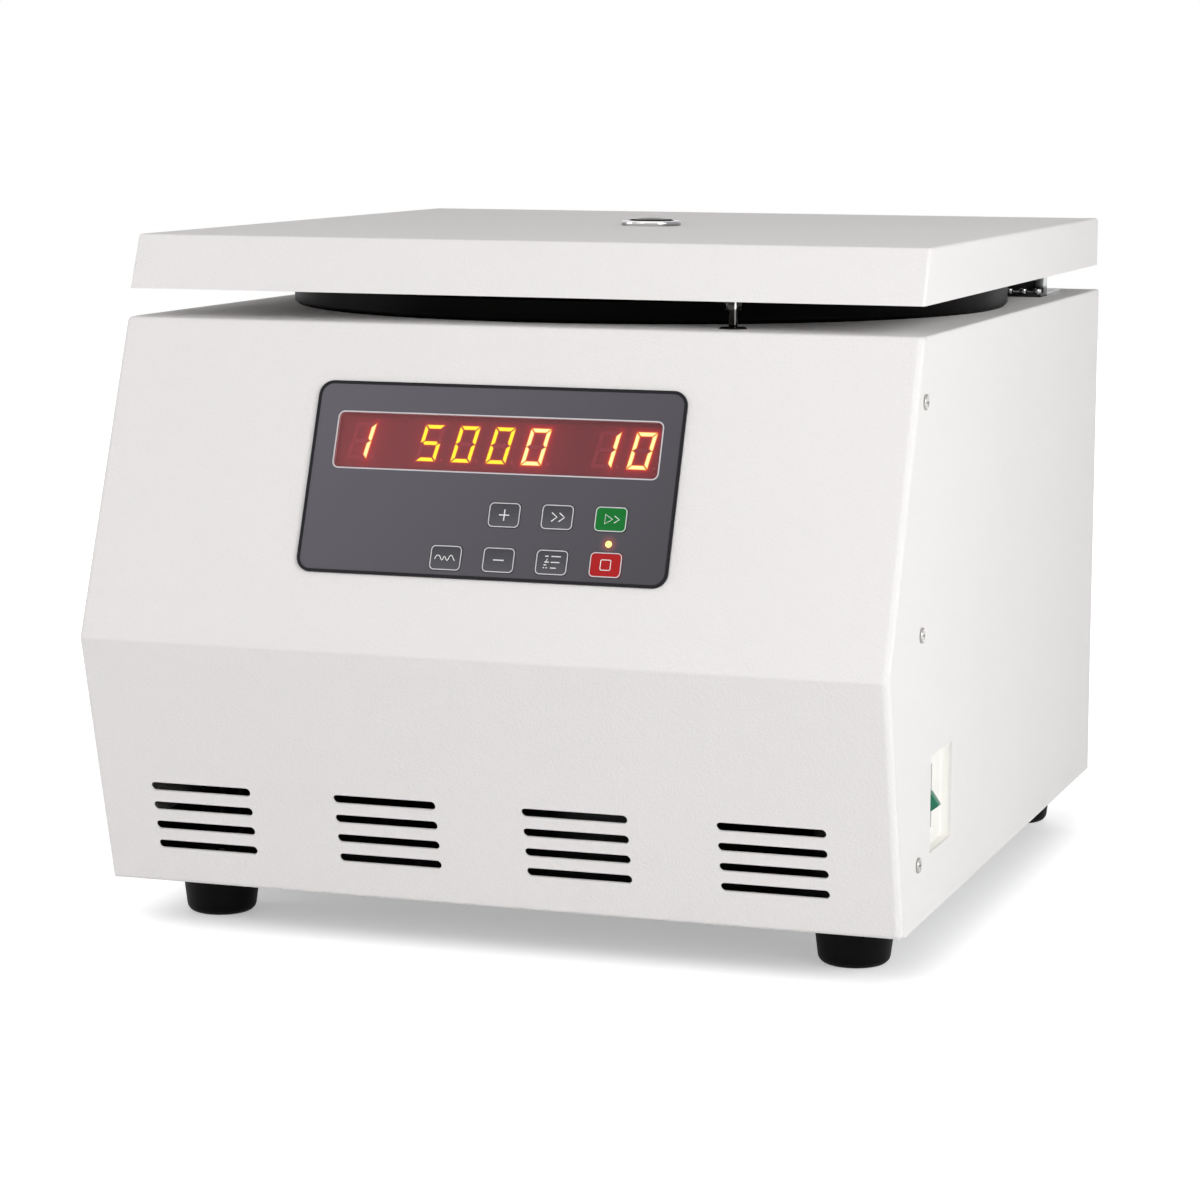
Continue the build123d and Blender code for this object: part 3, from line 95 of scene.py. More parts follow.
# ---- seven-segment digits
DIGIT_FACE = -4.5          # face of the digit blocks, below the panel's outer face
DIGIT_W = 11.3
DIGIT_H = 20.0
DIGIT_LEAN = 0.189         # sideways per height
DIGIT_FOOT = 105.0
STROKE = 2.25
STROKE_GAP = 0.22          # from a segment's end to the joint
CORE_INSET = 0.26
POINT_AT = (14.6, 1.1)
POINT_R = 0.9
LIT_DIGITS = [(-84.0, "1", True), (-45.1, "5", False), (-25.6, "0", False), (-6.1, "0", False),
              (13.5, "0", True), (51.6, "1", True), (71.1, "0", True)]
BLOCK_SEAMS = (-67.0, -48.3, -28.6, -8.0, 12.0, 31.5, 48.0, 69.8)
SEGMENTS = {"0": "abcdef", "1": "bc", "5": "acdfg"}
NEAR_GLOW = (0.9, 0.9)     # reach and level of the glow close to a lit segment
WIDE_GLOW = (6.0, 0.22)    # reach and level of the faint glow over the block
YELLOW_LEVEL = 0.45        # glow of the yellow digits against the hot ones
SEGMENT_T = 0.1
RIM_LEVEL = 0.15           # heights over the blocks' face
CORE_LEVEL = 0.22
UNLIT_LEVEL = 0.12
SEAM_W = 0.3
SEAM_LEVEL = 0.08

# ---- heights and places, in metres, at which a finish changes
PORT_RIM_H = 0.9 * MM              # the sloping rim round the porthole's glass
PORT_REFLECTION_ENDS = (9.5 * MM, 13.0 * MM)  # sideways, where a darker reflection is painted on the flange
HINGE_DARK_REFLECTION_H = (5.0 * MM, 7.0 * MM)  # below this a dark reflection is painted on the hinge's base
HINGE_BRIGHT_Y = (80 * MM, 76 * MM)  # back from here it is bright again
BREAKER_FACE = 6.5 * MM            # depth of the ivory behind the case's side
LED_HALO = (0.0062, 0.0018)        # painted glow round the lamp, from its edge inwards

# A highlight painted on the striker pin, not one made by the lamps. It lies to the
# right as this scene's camera stands, so it is right in that view alone.
STRIKER_LINE = (0.4 * MM, 0.8 * MM, 1.1 * MM, 1.5 * MM)
STRIKER_LINE_SIDE = (0.948, 0.319, 0.0)

# ---- floor and background
FLOOR_SIZE = 9.0
FLOOR_GLOW = 0.38                  # lifts the floor to white
FAR_FLOOR = (0.48, 0.85)           # the floor fades to white between these distances
FAR_GLOW = 0.6
PAINTED_SHADOW_EDGES = ((0.2, 0.24), (0.19, 0.235))  # X and Y at which the case's outline ends, and with it the painted shadow under the case
PAINTED_SHADOW_GLOW = 0.16                 # glow that the floor under the case doesn't get, which paints a shadow there
ROOM_LIGHT = 0.28
BACKGROUND_RAYS = ("Is Camera Ray", "Is Glossy Ray", "Is Transmission Ray")

# ---- lamps: name, place, size, power, colour
LAMPS = [
    ("front_light", (-1.5, -3.0, 1.7), (2.0, 1.6), 23.4, (1.0, 0.965, 0.975)),
    ("near_right_light", (1.75, -1.15, 0.95), (0.8, 1.1), 19, (1.0, 1.0, 1.0)),
    ("right_light", (2.9, -1.2, 1.2), (1.4, 1.4), 19, (1.0, 1.0, 1.0)),
    ("top_light", (0.0, -0.6, 3.2), (2.4, 2.4), 15.0, (0.98, 0.965, 1.0)),
    ("left_light", (-2.4, -0.6, 0.6), (1.0, 0.9), 17, (1.0, 1.0, 1.0)),
    ("rear_light", (-1.5, 3.0, 2.0), (2.0, 2.0), 11.6, (1.0, 1.0, 1.0)),
]
LAMP_AIM = Vector((0.0, 0.0, 0.2))

# ---- colours, linear
WHITE_PAINT = (0.84, 0.825, 0.81)
LID_PAINT = (0.85, 0.835, 0.82)
OVERLAY_GREY = (0.094, 0.088, 0.105)
KEY_GREY = (0.09, 0.088, 0.098)
PRINT_LIGHT = (0.6, 0.59, 0.61)
KEY_GREEN = (0.001, 0.15, 0.02)
KEY_RED = (0.39, 0.009, 0.01)


# ---------------------------------------------------------------- shader helpers

class Value:
    """A socket of a finish's node tree; arithmetic on it adds Math nodes."""

    def __init__(self, finish, socket):
        self.finish = finish
        self.socket = socket

    def math(self, operation, *values):
        return self.finish.node("ShaderNodeMath", {"operation": operation}, values)

    def __add__(self, other):
        return self.math("ADD", self, other)

    __radd__ = __add__

    def __sub__(self, other):
        return self.math("SUBTRACT", self, other)

    def __rsub__(self, other):
        return self.math("SUBTRACT", other, self)

    def __mul__(self, other):
        return self.math("MULTIPLY", self, other)

    __rmul__ = __mul__

    def __pow__(self, other):
        return self.math("POWER", self, other)

    def clamped(self):
        return self.finish.node("ShaderNodeClamp", {}, [self])


class Finish:
    """One material with a Principled shader."""

    def __init__(self, name, colour=(0.8, 0.8, 0.8), roughness=0.5, metallic=0.0, **sockets):
        self.material = bpy.data.materials.new(name)
        self.material.use_nodes = True
        self.tree = self.material.node_tree
        self.shader = self.tree.nodes["Principled BSDF"]
        self.set("Base Color", (*colour, 1.0))
        self.set("Roughness", roughness)
        self.set("Metallic", metallic)
        for socket, value in sockets.items():
            self.set(socket.replace("_", " "), value)

    def node(self, kind, settings=None, inputs=(), output=0):
        """Add a node; inputs is a list in socket order or a dict by socket name."""
        node = self.tree.nodes.new(kind)
        for setting, value in (settings or {}).items():
            setattr(node, setting, value)
        pairs = inputs.items() if isinstance(inputs, dict) else enumerate(inputs)
        for key, value in pairs:
            self.feed(node.inputs[key], value)
        return Value(self, node.outputs[output])

    def feed(self, socket, value):
        if isinstance(value, Value):
            self.tree.links.new(value.socket, socket)
        else:
            socket.default_value = value

    def set(self, socket, value):
        self.feed(self.shader.inputs[socket], value)

    def place(self, scale=(1.0, 1.0, 1.0), move=(0.0, 0.0, 0.0)):
        """Object coordinates, moved and then scaled."""
        at = self.node("ShaderNodeTexCoord", output=3)
        moved = self.node("ShaderNodeVectorMath", {"operation": "ADD"}, [at, move])
        return self.node("ShaderNodeVectorMath", {"operation": "MULTIPLY"}, [moved, scale])

    def noise(self, at, scale, detail=2.0, roughness=0.5):
        inputs = {"Vector": at, "Scale": scale, "Detail": detail, "Roughness": roughness}
        return self.node("ShaderNodeTexNoise", {}, inputs)

    def ramp(self, value, low, high):
        """Value stretched so that low gives 0 and high gives 1."""
        inputs = {"Value": value, "From Min": low, "From Max": high}
        return self.node("ShaderNodeMapRange", {"clamp": True}, inputs)

    def blend(self, first, second, factor):
        """Mix of two colours."""
        inputs = {0: factor, 6: _colour(first), 7: _colour(second)}
        return self.node("ShaderNodeMix", {"data_type": "RGBA"}, inputs, output=2)

    def side_ramp(self, axis, low, high):
        """Grows from 0 to 1 as the distance from the mid-plane goes from low to high."""
        along = self.node("ShaderNodeSeparateXYZ", {}, [self.place()], output=axis)
        return self.ramp(along.math("ABSOLUTE", along), low, high)

    def bump(self, height, depth, strength=1.0):
        inputs = {"Strength": strength, "Distance": depth, "Height": height}
        self.set("Normal", self.node("ShaderNodeBump", {}, inputs))

    def attribute(self, name):
        return self.node("ShaderNodeAttribute", {"attribute_name": name}, output=2)


def _colour(value):
    if isinstance(value, Value):
        return value
    return (*value, 1.0) if len(value) == 3 else value


def tinted(colour, factor):
    return tuple(min(1.0, channel * factor) for channel in colour)


# ---------------------------------------------------------------- finishes

def powder_coat(name, colour):
    """Fine orange-peel powder coat, a little uneven in gloss."""
    paint = Finish(name, colour, 0.42, Specular_IOR_Level=0.0)
    at = paint.place()
    peel = paint.noise(at, 820.0, 2.5, 0.6)
    cloud = paint.noise(at, 7.0, 3.0)
    speck = paint.ramp(paint.noise(at, 1600.0, 1.0), 0.66, 0.74)
    tone = paint.blend(tinted(colour, 0.975), colour, cloud)
    paint.set("Base Color", paint.blend(tone, tinted(colour, 0.9), speck * 0.25))
    paint.set("Roughness", 0.38 + cloud * 0.1 + peel * 0.06)
    paint.bump(peel, 0.00034, 1.0)
    return paint.material


def moulded_rubber(name, colour, gloss=0.5, shine=0.2):
    rubber = Finish(name, colour, gloss, Specular_IOR_Level=shine)
    at = rubber.place()
    grain = rubber.noise(at, 900.0, 3.0, 0.6)
    cloud = rubber.noise(at, 26.0, 3.0)
    rubber.set("Base Color", rubber.blend(tinted(colour, 0.7), tinted(colour, 1.6), cloud))
    rubber.set("Roughness", gloss - 0.08 + cloud * 0.2)
    rubber.bump(grain, 0.00005, 0.8)
    return rubber.material


def bright_metal(name, colour=(0.72, 0.72, 0.73), gloss=0.12):
    metal = Finish(name, colour, gloss, 1.0)
    at = metal.place()
    smear = metal.noise(at, 140.0, 4.0)
    metal.set("Roughness", gloss + smear * 0.1)
    metal.bump(metal.noise(at, 700.0, 2.0), 0.000008, 0.7)
    return metal.material


def brushed(name, colour, stretch, gloss=0.3, depth=0.00003):
    """Metal with straight brushing; stretch is small along the grain."""
    metal = Finish(name, colour, gloss, 1.0)
    lines = metal.noise(metal.place(stretch), 900.0, 3.0, 0.65)
    cloud = metal.noise(metal.place(), 12.0, 3.0)
    metal.set("Base Color", metal.blend(tinted(colour, 0.86), tinted(colour, 1.08), lines))
    metal.set("Roughness", gloss - 0.06 + lines * 0.12 + cloud * 0.08)
    metal.bump(lines, depth, 0.6)
    return metal.material


def turned_metal(name, colour, centre, gloss=0.28):
    """Metal with rings of turning marks round an upright axis."""
    metal = Finish(name, colour, gloss, 1.0)
    at = metal.place(move=(-centre[0], -centre[1], 0.0))
    flat = metal.node("ShaderNodeVectorMath", {"operation": "MULTIPLY"}, [at, (1.0, 1.0, 0.0)])
    radius = metal.node("ShaderNodeVectorMath", {"operation": "LENGTH"}, [flat], output=1)
    height = metal.node("ShaderNodeSeparateXYZ", {}, [at], output=2)
    ring_at = metal.node("ShaderNodeCombineXYZ", {}, [radius, 0.0, height])
    rings = metal.noise(ring_at, 1400.0, 2.0, 0.6)
    cloud = metal.noise(metal.place(), 14.0, 3.0)
    metal.set("Base Color", metal.blend(tinted(colour, 0.88), tinted(colour, 1.06), rings))
    metal.set("Roughness", gloss - 0.05 + rings * 0.1 + cloud * 0.08)
    metal.bump(rings, 0.00002, 0.6)
    return metal.material


def moulded_plastic(name, colour, gloss=0.35, grain=0.00002):
    plastic = Finish(name, colour, gloss)
    at = plastic.place()
    cloud = plastic.noise(at, 30.0, 3.0)
    plastic.set("Base Color", plastic.blend(tinted(colour, 0.93), tinted(colour, 1.04), cloud))
    plastic.set("Roughness", gloss - 0.04 + cloud * 0.1)
    plastic.bump(plastic.noise(at, 1100.0, 2.0), grain, 0.7)
    return plastic.material


def printed_film(name, colour, shade=0.0, along=None):
    """Matt printed film; shade darkens it upwards across a key."""
    film = Finish(name, colour, 0.42, Specular_IOR_Level=0.15)
    at = film.place()
    cloud = film.noise(at, 18.0, 3.0)
    tone = film.blend(tinted(colour, 0.92), tinted(colour, 1.07), cloud)
    if along:
        height = film.node("ShaderNodeSeparateXYZ", {}, [at], output=2)
        rise = film.ramp(height, along[0], along[1])
        tone = film.blend(tone, tinted(colour, 1.0 - shade), rise)
    film.set("Base Color", tone)
    film.set("Roughness", 0.4 + cloud * 0.08)
    film.bump(film.noise(at, 1800.0, 2.0), 0.00002, 0.6)
    return film.material


def across_panel(finish):
    """Grows from 0 at the left edge of the overlay to 1 at its right edge."""
    along = finish.node("ShaderNodeSeparateXYZ", {}, [finish.place()])
    return finish.ramp(along, -OVERLAY_HALF_W * MM, OVERLAY_HALF_W * MM)


def overlay_film():
    """Dark printed film with a painted reflection that falls in tone to the lower right, and a
    painted glow from the lamp.
    """
    film = Finish("overlay_film", OVERLAY_GREY, 0.4, Emission_Strength=1.0, Specular_IOR_Level=0.25)
    at = film.place()
    cloud = film.noise(at, 14.0, 3.0)
    height = film.node("ShaderNodeSeparateXYZ", {}, [at], output=2)
    rise = film.ramp(height, panel_point(0, OVERLAY_S[0], 0).z, panel_point(0, OVERLAY_S[1], 0).z)
    # painted reflection: paler towards the upper left, deeper towards the lower right
    light = (1.0 - across_panel(film)) * 0.62 + rise * 0.32 + cloud * 0.12
    deep, pale = tinted(OVERLAY_GREY, 0.48), tinted(OVERLAY_GREY, 1.08)
    film.set("Base Color", film.blend(deep, pale, light))
    lamp = panel_point(*LED_AT, OVERLAY_T)
    near = film.node("ShaderNodeVectorMath", {"operation": "DISTANCE"}, [at, tuple(lamp)], output=1)
    halo = film.ramp(near, *LED_HALO) ** 2.0
    film.set("Emission Color", film.blend((0.0, 0.0, 0.0), (0.2, 0.02, 0.01), halo))
    film.set("Roughness", 0.38 + cloud * 0.08)
    film.bump(film.noise(at, 1800.0, 2.0), 0.00002, 0.6)
    return film.material


def display_pane():
    """Red filter in front of the digits, with a painted reflection that falls in tone to the right.
    """
    pane = Finish("display_pane", (0.27, 0.04, 0.048), 0.3, Alpha=0.4, Specular_IOR_Level=0.3)
    at = pane.place()
    cloud = pane.noise(at, 16.0, 3.0)
    # painted reflection: paler at the left, deeper at the right
    shade = across_panel(pane) * 0.75 + cloud * 0.25
    pane.set("Base Color", pane.blend((0.37, 0.063, 0.074), (0.2, 0.034, 0.042), shade))
    pane.bump(pane.noise(at, 1500.0, 2.0), 0.00001, 0.5)
    return pane.material


def digit_face():
    """Dark face of the digit blocks, lit red round the bright segments."""
    face = Finish("digit_face", (0.12, 0.03, 0.035), 0.5, Emission_Strength=1.0,
                  Specular_IOR_Level=0.2)
    glow = face.attribute("glow")
    face.set("Emission Color", face.blend((0.0, 0.0, 0.0), (1.0, 0.0, 0.0), glow))
    cloud = face.noise(face.place(), 22.0, 3.0)
    face.set("Base Color", face.blend((0.1, 0.024, 0.03), (0.15, 0.034, 0.04), cloud))
    return face.material


def glowing(name, colour, strength):
    light = Finish(name, (0.02, 0.02, 0.02), 0.5, Emission_Strength=strength)
    cloud = light.noise(light.place(), 400.0, 2.0)
    light.set("Emission Color", light.blend(colour, tinted(colour, 0.92), cloud))
    return light.material


def dark_glass():
    glass = Finish("dark_glass", (0.008, 0.009, 0.011), 0.05, Specular_IOR_Level=0.005)
    at = glass.place()
    glass.set("Roughness", 0.03 + glass.noise(at, 60.0, 3.0) * 0.06)
    glass.bump(glass.noise(at, 120.0, 1.0), 0.00002, 0.4)
    return glass.material


def porthole_metal():
    """Plated flange with a darker reflection painted on its ends, below a raised rim painted black.
    """
    metal = Finish("porthole_metal", (0.45, 0.45, 0.46), 0.1, 1.0, Specular_IOR_Level=0.0)
    at = metal.place()
    height = metal.node("ShaderNodeSeparateXYZ", {}, [at], output=2)
    rim_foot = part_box("porthole_bezel")[1].z - PORT_RIM_H
    rim = metal.ramp(height, rim_foot, rim_foot + 0.2 * MM)
    painted_reflection_ends = metal.side_ramp(0, *PORT_REFLECTION_ENDS)
    wall = metal.blend((0.6, 0.59, 0.58), (0.3, 0.3, 0.31), painted_reflection_ends)
    metal.set("Base Color", metal.blend(wall, (0.012, 0.012, 0.012), rim))
    metal.set("Metallic", 1.0 - rim)
    metal.set("Roughness", 0.08 + metal.noise(at, 160.0, 3.0) * 0.1 + rim * 0.2)
    return metal.material


def hinge_steel():
    """Bright ear on a base plate whose front has a dark reflection painted on it."""
    steel = Finish("hinge_steel", (0.6, 0.61, 0.62), 0.3, 1.0)
    at = steel.place()
    height = steel.node("ShaderNodeSeparateXYZ", {}, [at], output=2)
    depth = steel.node("ShaderNodeSeparateXYZ", {}, [at], output=1)
    low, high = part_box("hinge_base_right")
    above = steel.ramp(height, low.z + HINGE_DARK_REFLECTION_H[0], low.z + HINGE_DARK_REFLECTION_H[1])
    behind = steel.ramp(depth, high.y - HINGE_BRIGHT_Y[0], high.y - HINGE_BRIGHT_Y[1])
    bright = (above + behind).clamped()
    # the base plate's low front gets a painted dark reflection; the ear and the rear stay bright
    steel.set("Base Color", steel.blend((0.04, 0.04, 0.04), (0.62, 0.63, 0.64), bright))
    steel.set("Roughness", 0.26 + steel.noise(at, 160.0, 3.0) * 0.12)
    steel.bump(steel.noise(at, 700.0, 2.0), 0.00001, 0.6)
    return steel.material


def striker_steel():
    """Dark steel with a highlight painted on it as a line."""
    steel = Finish("striker_steel", (0.03, 0.03, 0.03), 0.12, 1.0)
    low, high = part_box("striker_pin")
    at = steel.place(move=(-(low.x + high.x) / 2, -(low.y + high.y) / 2, 0.0))
    sideways = {"operation": "DOT_PRODUCT"}
    across = steel.node("ShaderNodeVectorMath", sideways, [at, STRIKER_LINE_SIDE], output=1)
    start, full, full_end, end = STRIKER_LINE
    line = steel.ramp(across, start, full) * steel.ramp(across, end, full_end)
    steel.set("Base Color", steel.blend((0.03, 0.029, 0.028), (0.95, 0.94, 0.92), line))
    steel.set("Roughness", 0.1 + steel.noise(at, 300.0, 2.0) * 0.1)
    return steel.material


def breaker_plastic():
    """Ivory round the lever, black further inside the case."""
    plastic = Finish("breaker_plastic", (0.86, 0.85, 0.81), 0.3)
    at = plastic.place()
    along = plastic.node("ShaderNodeSeparateXYZ", {}, [at])
    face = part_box("switch_body")[1].x - BREAKER_FACE
    front = plastic.ramp(along, face - 1.0 * MM, face)
    plastic.set("Base Color", plastic.blend((0.03, 0.03, 0.03), (0.86, 0.85, 0.81), front))
    plastic.set("Roughness", 0.27 + plastic.noise(at, 30.0, 3.0) * 0.08)
    plastic.bump(plastic.noise(at, 1100.0, 2.0), 0.00002, 0.7)
    return plastic.material


def circuit_board():
    board = Finish("circuit_board", (0.02, 0.13, 0.05), 0.4)
    at = board.place((1.0, 1.0, 1.0))
    lines = board.node("ShaderNodeTexBrick", {}, {"Vector": at, "Scale": 160.0,
                       "Color1": (0.02, 0.13, 0.05, 1), "Color2": (0.015, 0.1, 0.04, 1),
                       "Mortar": (0.04, 0.2, 0.08, 1)})
    board.set("Base Color", lines)
    board.bump(board.noise(at, 500.0, 2.0), 0.00003, 0.6)
    return board.material


# ---------------------------------------------------------------- modelling helpers

def panel_axes():
    """Right, up and outward directions of the sloping panel."""
    up = Vector((0.0, SLOPE_TOP[0] - BEND[0], SLOPE_TOP[1] - BEND[1])).normalized()
    right = Vector((1.0, 0.0, 0.0))
    return right, up, right.cross(up)


def panel_matrix(x=0.0, s=0.0, n=0.0):
    """Carries a flat drawing, in metres, onto the panel at (x, s, n) in millimetres."""
    right, up, out = panel_axes()
    turn = Matrix((right, up, out)).transposed().to_4x4()
    bend = Matrix.Translation(Vector((0.0, BEND[0], BEND[1])) * MM)
    return bend @ turn @ Matrix.Translation(Vector((x, s, n)) * MM)


def panel_point(x, s, n):
    return panel_matrix(x, s, n).translation


def select_only(piece):
    if bpy.context.object and bpy.context.object.mode != "OBJECT":
        bpy.ops.object.mode_set(mode="OBJECT")
    bpy.ops.object.select_all(action="DESELECT")
    piece.select_set(True)
    bpy.context.view_layer.objects.active = piece


def settle(piece, name, body, finish, smooth=None):
    """Apply a new piece's place, name it and give it its body and material."""
    select_only(piece)
    bpy.ops.object.transform_apply(location=True, rotation=True, scale=True)
    piece.name = name
    piece.data.name = name
    piece.data.materials.clear()
    piece.data.materials.append(finish)
    if smooth:
        bpy.ops.object.shade_smooth_by_angle(angle=math.radians(smooth))
    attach(piece, body)
    return piece


def onto_panel(piece, x, s, n):
    """Move a flat drawing's mesh onto the panel."""
    select_only(piece)
    bpy.ops.object.transform_apply(location=True, rotation=True, scale=True)
    piece.data.transform(panel_matrix(x, s, n))
    return piece


def edit(piece, mode="FACE"):
    """Enter edit mode on one piece with everything selected."""
    select_only(piece)
    bpy.ops.object.mode_set(mode="EDIT")
    bpy.ops.mesh.select_mode(type=mode)
    bpy.ops.mesh.select_all(action="SELECT")


def leave_edit():
    bpy.ops.object.mode_set(mode="OBJECT")


def finish_with(piece, kind, **settings):
    """Add a modifier and apply it."""
    select_only(piece)
    modifier = piece.modifiers.new(kind.lower(), kind)
    for setting, value in settings.items():
        setattr(modifier, setting, value)
    bpy.ops.object.modifier_apply(modifier=modifier.name)


def flat_plate(width, height, radius, corner_steps=6):
    """Flat rounded rectangle in millimetres, lying in the drawing plane."""
    bpy.ops.object.select_all(action="DESELECT")
    bpy.ops.mesh.primitive_plane_add(size=1.0)
    plate = bpy.context.object
    plate.scale = (width * MM, height * MM, 1.0)
    bpy.ops.object.transform_apply(scale=True)
    if radius:
        edit(plate, "VERT")
        bpy.ops.mesh.bevel(offset=radius * MM, segments=corner_steps, affect="VERTICES")
        leave_edit()
    return plate


def outline_ring(width, height, radius, line, thick):
    """Printed or raised line round a rounded rectangle."""
    ring = flat_plate(width, height, radius)
    edit(ring)
    bpy.ops.mesh.inset(thickness=line * MM, depth=0.0)
    bpy.ops.mesh.delete(type="FACE")
    leave_edit()
    finish_with(ring, "SOLIDIFY", thickness=thick * MM, offset=1.0)
    return ring


def stroke(points, width, closed=False, thick=0.12):
    """Drawn line of the given width through (x, y) points in millimetres."""
    curve = bpy.data.curves.new("stroke", "CURVE")
    curve.dimensions = "3D"
    curve.bevel_depth = width * MM / 2
    curve.bevel_resolution = 2
    curve.use_fill_caps = True
    spline = curve.splines.new("POLY")
    spline.points.add(len(points) - 1)
    for knot, (x, y) in zip(spline.points, points):
        knot.co = (x * MM, y * MM, 0.0, 1.0)
    spline.use_cyclic_u = closed
    piece = bpy.data.objects.new("stroke", curve)
    bpy.context.collection.objects.link(piece)
    select_only(piece)
    bpy.ops.object.convert(target="MESH")
    piece = bpy.context.object
    piece.data.transform(Matrix.Diagonal((1.0, 1.0, 2 * thick / width, 1.0)))
    return piece


def joined(pieces):
    """One object of several."""
    select_only(pieces[0])
    for piece in pieces[1:]:
        piece.select_set(True)
    bpy.ops.object.join()
    return bpy.context.object


def softened(node, width, angle=35.0, steps=2):
    """A copy of a CAD node with its sharp edges eased."""
    source = frame["nodes"][node]
    piece = bpy.data.objects.new(node + "_eased", source.data.copy())
    bpy.context.collection.objects.link(piece)
    edit(piece, "VERT")
    bpy.ops.mesh.remove_doubles(threshold=0.000002)
    bpy.ops.mesh.dissolve_limited(angle_limit=math.radians(0.6))
    leave_edit()
    finish_with(piece, "BEVEL", width=width * MM, segments=steps, limit_method="ANGLE",
                angle_limit=math.radians(angle), harden_normals=False, miter_outer="MITER_ARC")
    return piece


def body_of_node(node):
    for body, nodes in frame["record"]["behaviour"]["bodies"].items():
        if node in nodes:
            return body


def dress(node, finish, ease=None, smooth=30.0):
    """Give a CAD node its finish; with ease, show a copy with eased edges instead."""
    if ease is None:
        piece = frame["nodes"][node]
        piece.data.materials.clear()
        piece.data.materials.append(finish)
        return piece
    piece = softened(node, ease)
    settle(piece, node + "_eased", body_of_node(node), finish, smooth)
    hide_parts(node)
    return piece


# ---------------------------------------------------------------- dressing the CAD nodes

case_paint = powder_coat("case_paint", WHITE_PAINT)
lid_paint = powder_coat("lid_paint", LID_PAINT)
seal_rubber = moulded_rubber("seal_rubber", (0.001, 0.001, 0.001), 0.4, 0.03)
foot_rubber = moulded_rubber("foot_rubber", (0.0015, 0.0015, 0.0015), 0.5, 0.07)
chrome = bright_metal("chrome", (0.5, 0.5, 0.51))
dark_steel = bright_metal("dark_steel", (0.07, 0.067, 0.064), 0.1)
screw_metal = bright_metal("screw_metal", (0.4, 0.39, 0.38), 0.2)
zinc = brushed("zinc_sheet", (0.56, 0.57, 0.58), (0.08, 1.0, 1.0), 0.38)
dark_zinc = brushed("dark_zinc", (0.12, 0.125, 0.13), (0.08, 1.0, 1.0), 0.5)
black_paint = moulded_plastic("black_paint", (0.02, 0.02, 0.021), 0.38, 0.00004)
black_plastic = moulded_plastic("black_plastic", (0.024, 0.024, 0.026), 0.4)
green_plastic = moulded_plastic("green_plastic", (0.006, 0.16, 0.09), 0.28)
rotor_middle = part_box("rotor_nut")
ROTOR_AXIS = [(rotor_middle[0][i] + rotor_middle[1][i]) / 2 for i in (0, 1)]
bowl_steel = turned_metal("bowl_steel", (0.6, 0.6, 0.6), ROTOR_AXIS)
rotor_alloy = turned_metal("rotor_alloy", (0.42, 0.43, 0.45), ROTOR_AXIS, 0.33)
liner_steel = brushed("liner_steel", (0.58, 0.58, 0.58), (0.05, 1.0, 1.0), 0.3)
bucket_steel = brushed("bucket_steel", (0.6, 0.6, 0.61), (1.0, 1.0, 0.08), 0.28)

dress("front_panel", case_paint)
dress("outer_cover", case_paint)
dress("rear_panel", case_paint)
dress("base_tray", dark_zinc)
dress("lid_shell", lid_paint)
dress("lid_liner", liner_steel)
dress("chamber_seal", seal_rubber)
dress("chamber_bowl", bowl_steel)
dress("shaft_boot", foot_rubber)
dress("motor_dampers", foot_rubber)
dress("motor_housing", black_paint)
dress("motor_plate", dark_zinc)
dress("motor_shaft", screw_metal)
dress("motor_drive", black_plastic)
dress("control_board", circuit_board())
dress("display_digits", moulded_plastic("digit_block", (0.035, 0.008, 0.01), 0.4))
dress("trunnion_pins", chrome)
dress("fan_guard", chrome)
dress("fan_impeller", black_plastic)
dress("foot_screws", screw_metal)
dress("latch_bolt", screw_metal)
dress("latch_solenoid", zinc)
dress("lock_housing", black_plastic)
dress("striker_nut", screw_metal)
for corner in ("front_left", "front_right", "rear_left", "rear_right"):
    dress("foot_" + corner, foot_rubber)
dress("side_screws", screw_metal, 0.15)
dress("porthole_bezel", porthole_metal(), 0.25)
dress("porthole_glass", dark_glass())
dress("porthole_nut", screw_metal, 0.3)
dress("striker_pin", striker_steel(), 0.15)
dress("latch_escutcheon", dark_steel)
dress("hinge_pins", chrome, 0.3)
dress("hinge_bolts", chrome, 0.2)
hinge_finish = hinge_steel()
for side in ("left", "right"):
    dress("hinge_base_" + side, hinge_finish, 0.3)
    dress("hinge_arm_" + side, black_paint, 0.5)
dress("rotor_yoke", rotor_alloy, 0.6)
dress("rotor_nut", screw_metal, 0.3)
for number in range(1, 5):
    dress(f"bucket_{number}", bucket_steel)
dress("switch_body", breaker_plastic(), 0.3)
dress("switch_lever", green_plastic, 0.3)
dress("fan_frame", black_plastic, 0.4)
dress("mains_inlet", black_plastic, 0.4)
dress("status_led", glowing("amber_lens", (1.0, 0.75, 0.2), 1.8))
dress("control_overlay", overlay_film())


# ---------------------------------------------------------------- keys

def key_finish(name, colour, shade):
    x, s = KEY_AT[name]
    low = panel_point(x, s - KEY_SIZE[1] / 2, 0).z
    high = panel_point(x, s + KEY_SIZE[1] / 2, 0).z
    return printed_film(name + "_film", colour, shade, (low, high))


print_light = printed_film("print_light", PRINT_LIGHT)
print_white = printed_film("print_white", (0.8, 0.8, 0.8))
MARK_LINE = 0.6
SIGN_LINE = 0.48
WAVE_LINE = 0.45
DASH_LINE = 0.55
TICK_LINE = 0.4


def arc_points(x, y, radius, start, end, steps=10):
    """Points of an arc in millimetres; angles in degrees."""
    angles = [math.radians(start + (end - start) * i / steps) for i in range(steps + 1)]
    return [(x + radius * math.cos(a), y + radius * math.sin(a)) for a in angles]


def chevron(x, reach, half_height):
    return [(x, half_height), (x + reach, 0.0), (x, -half_height)]


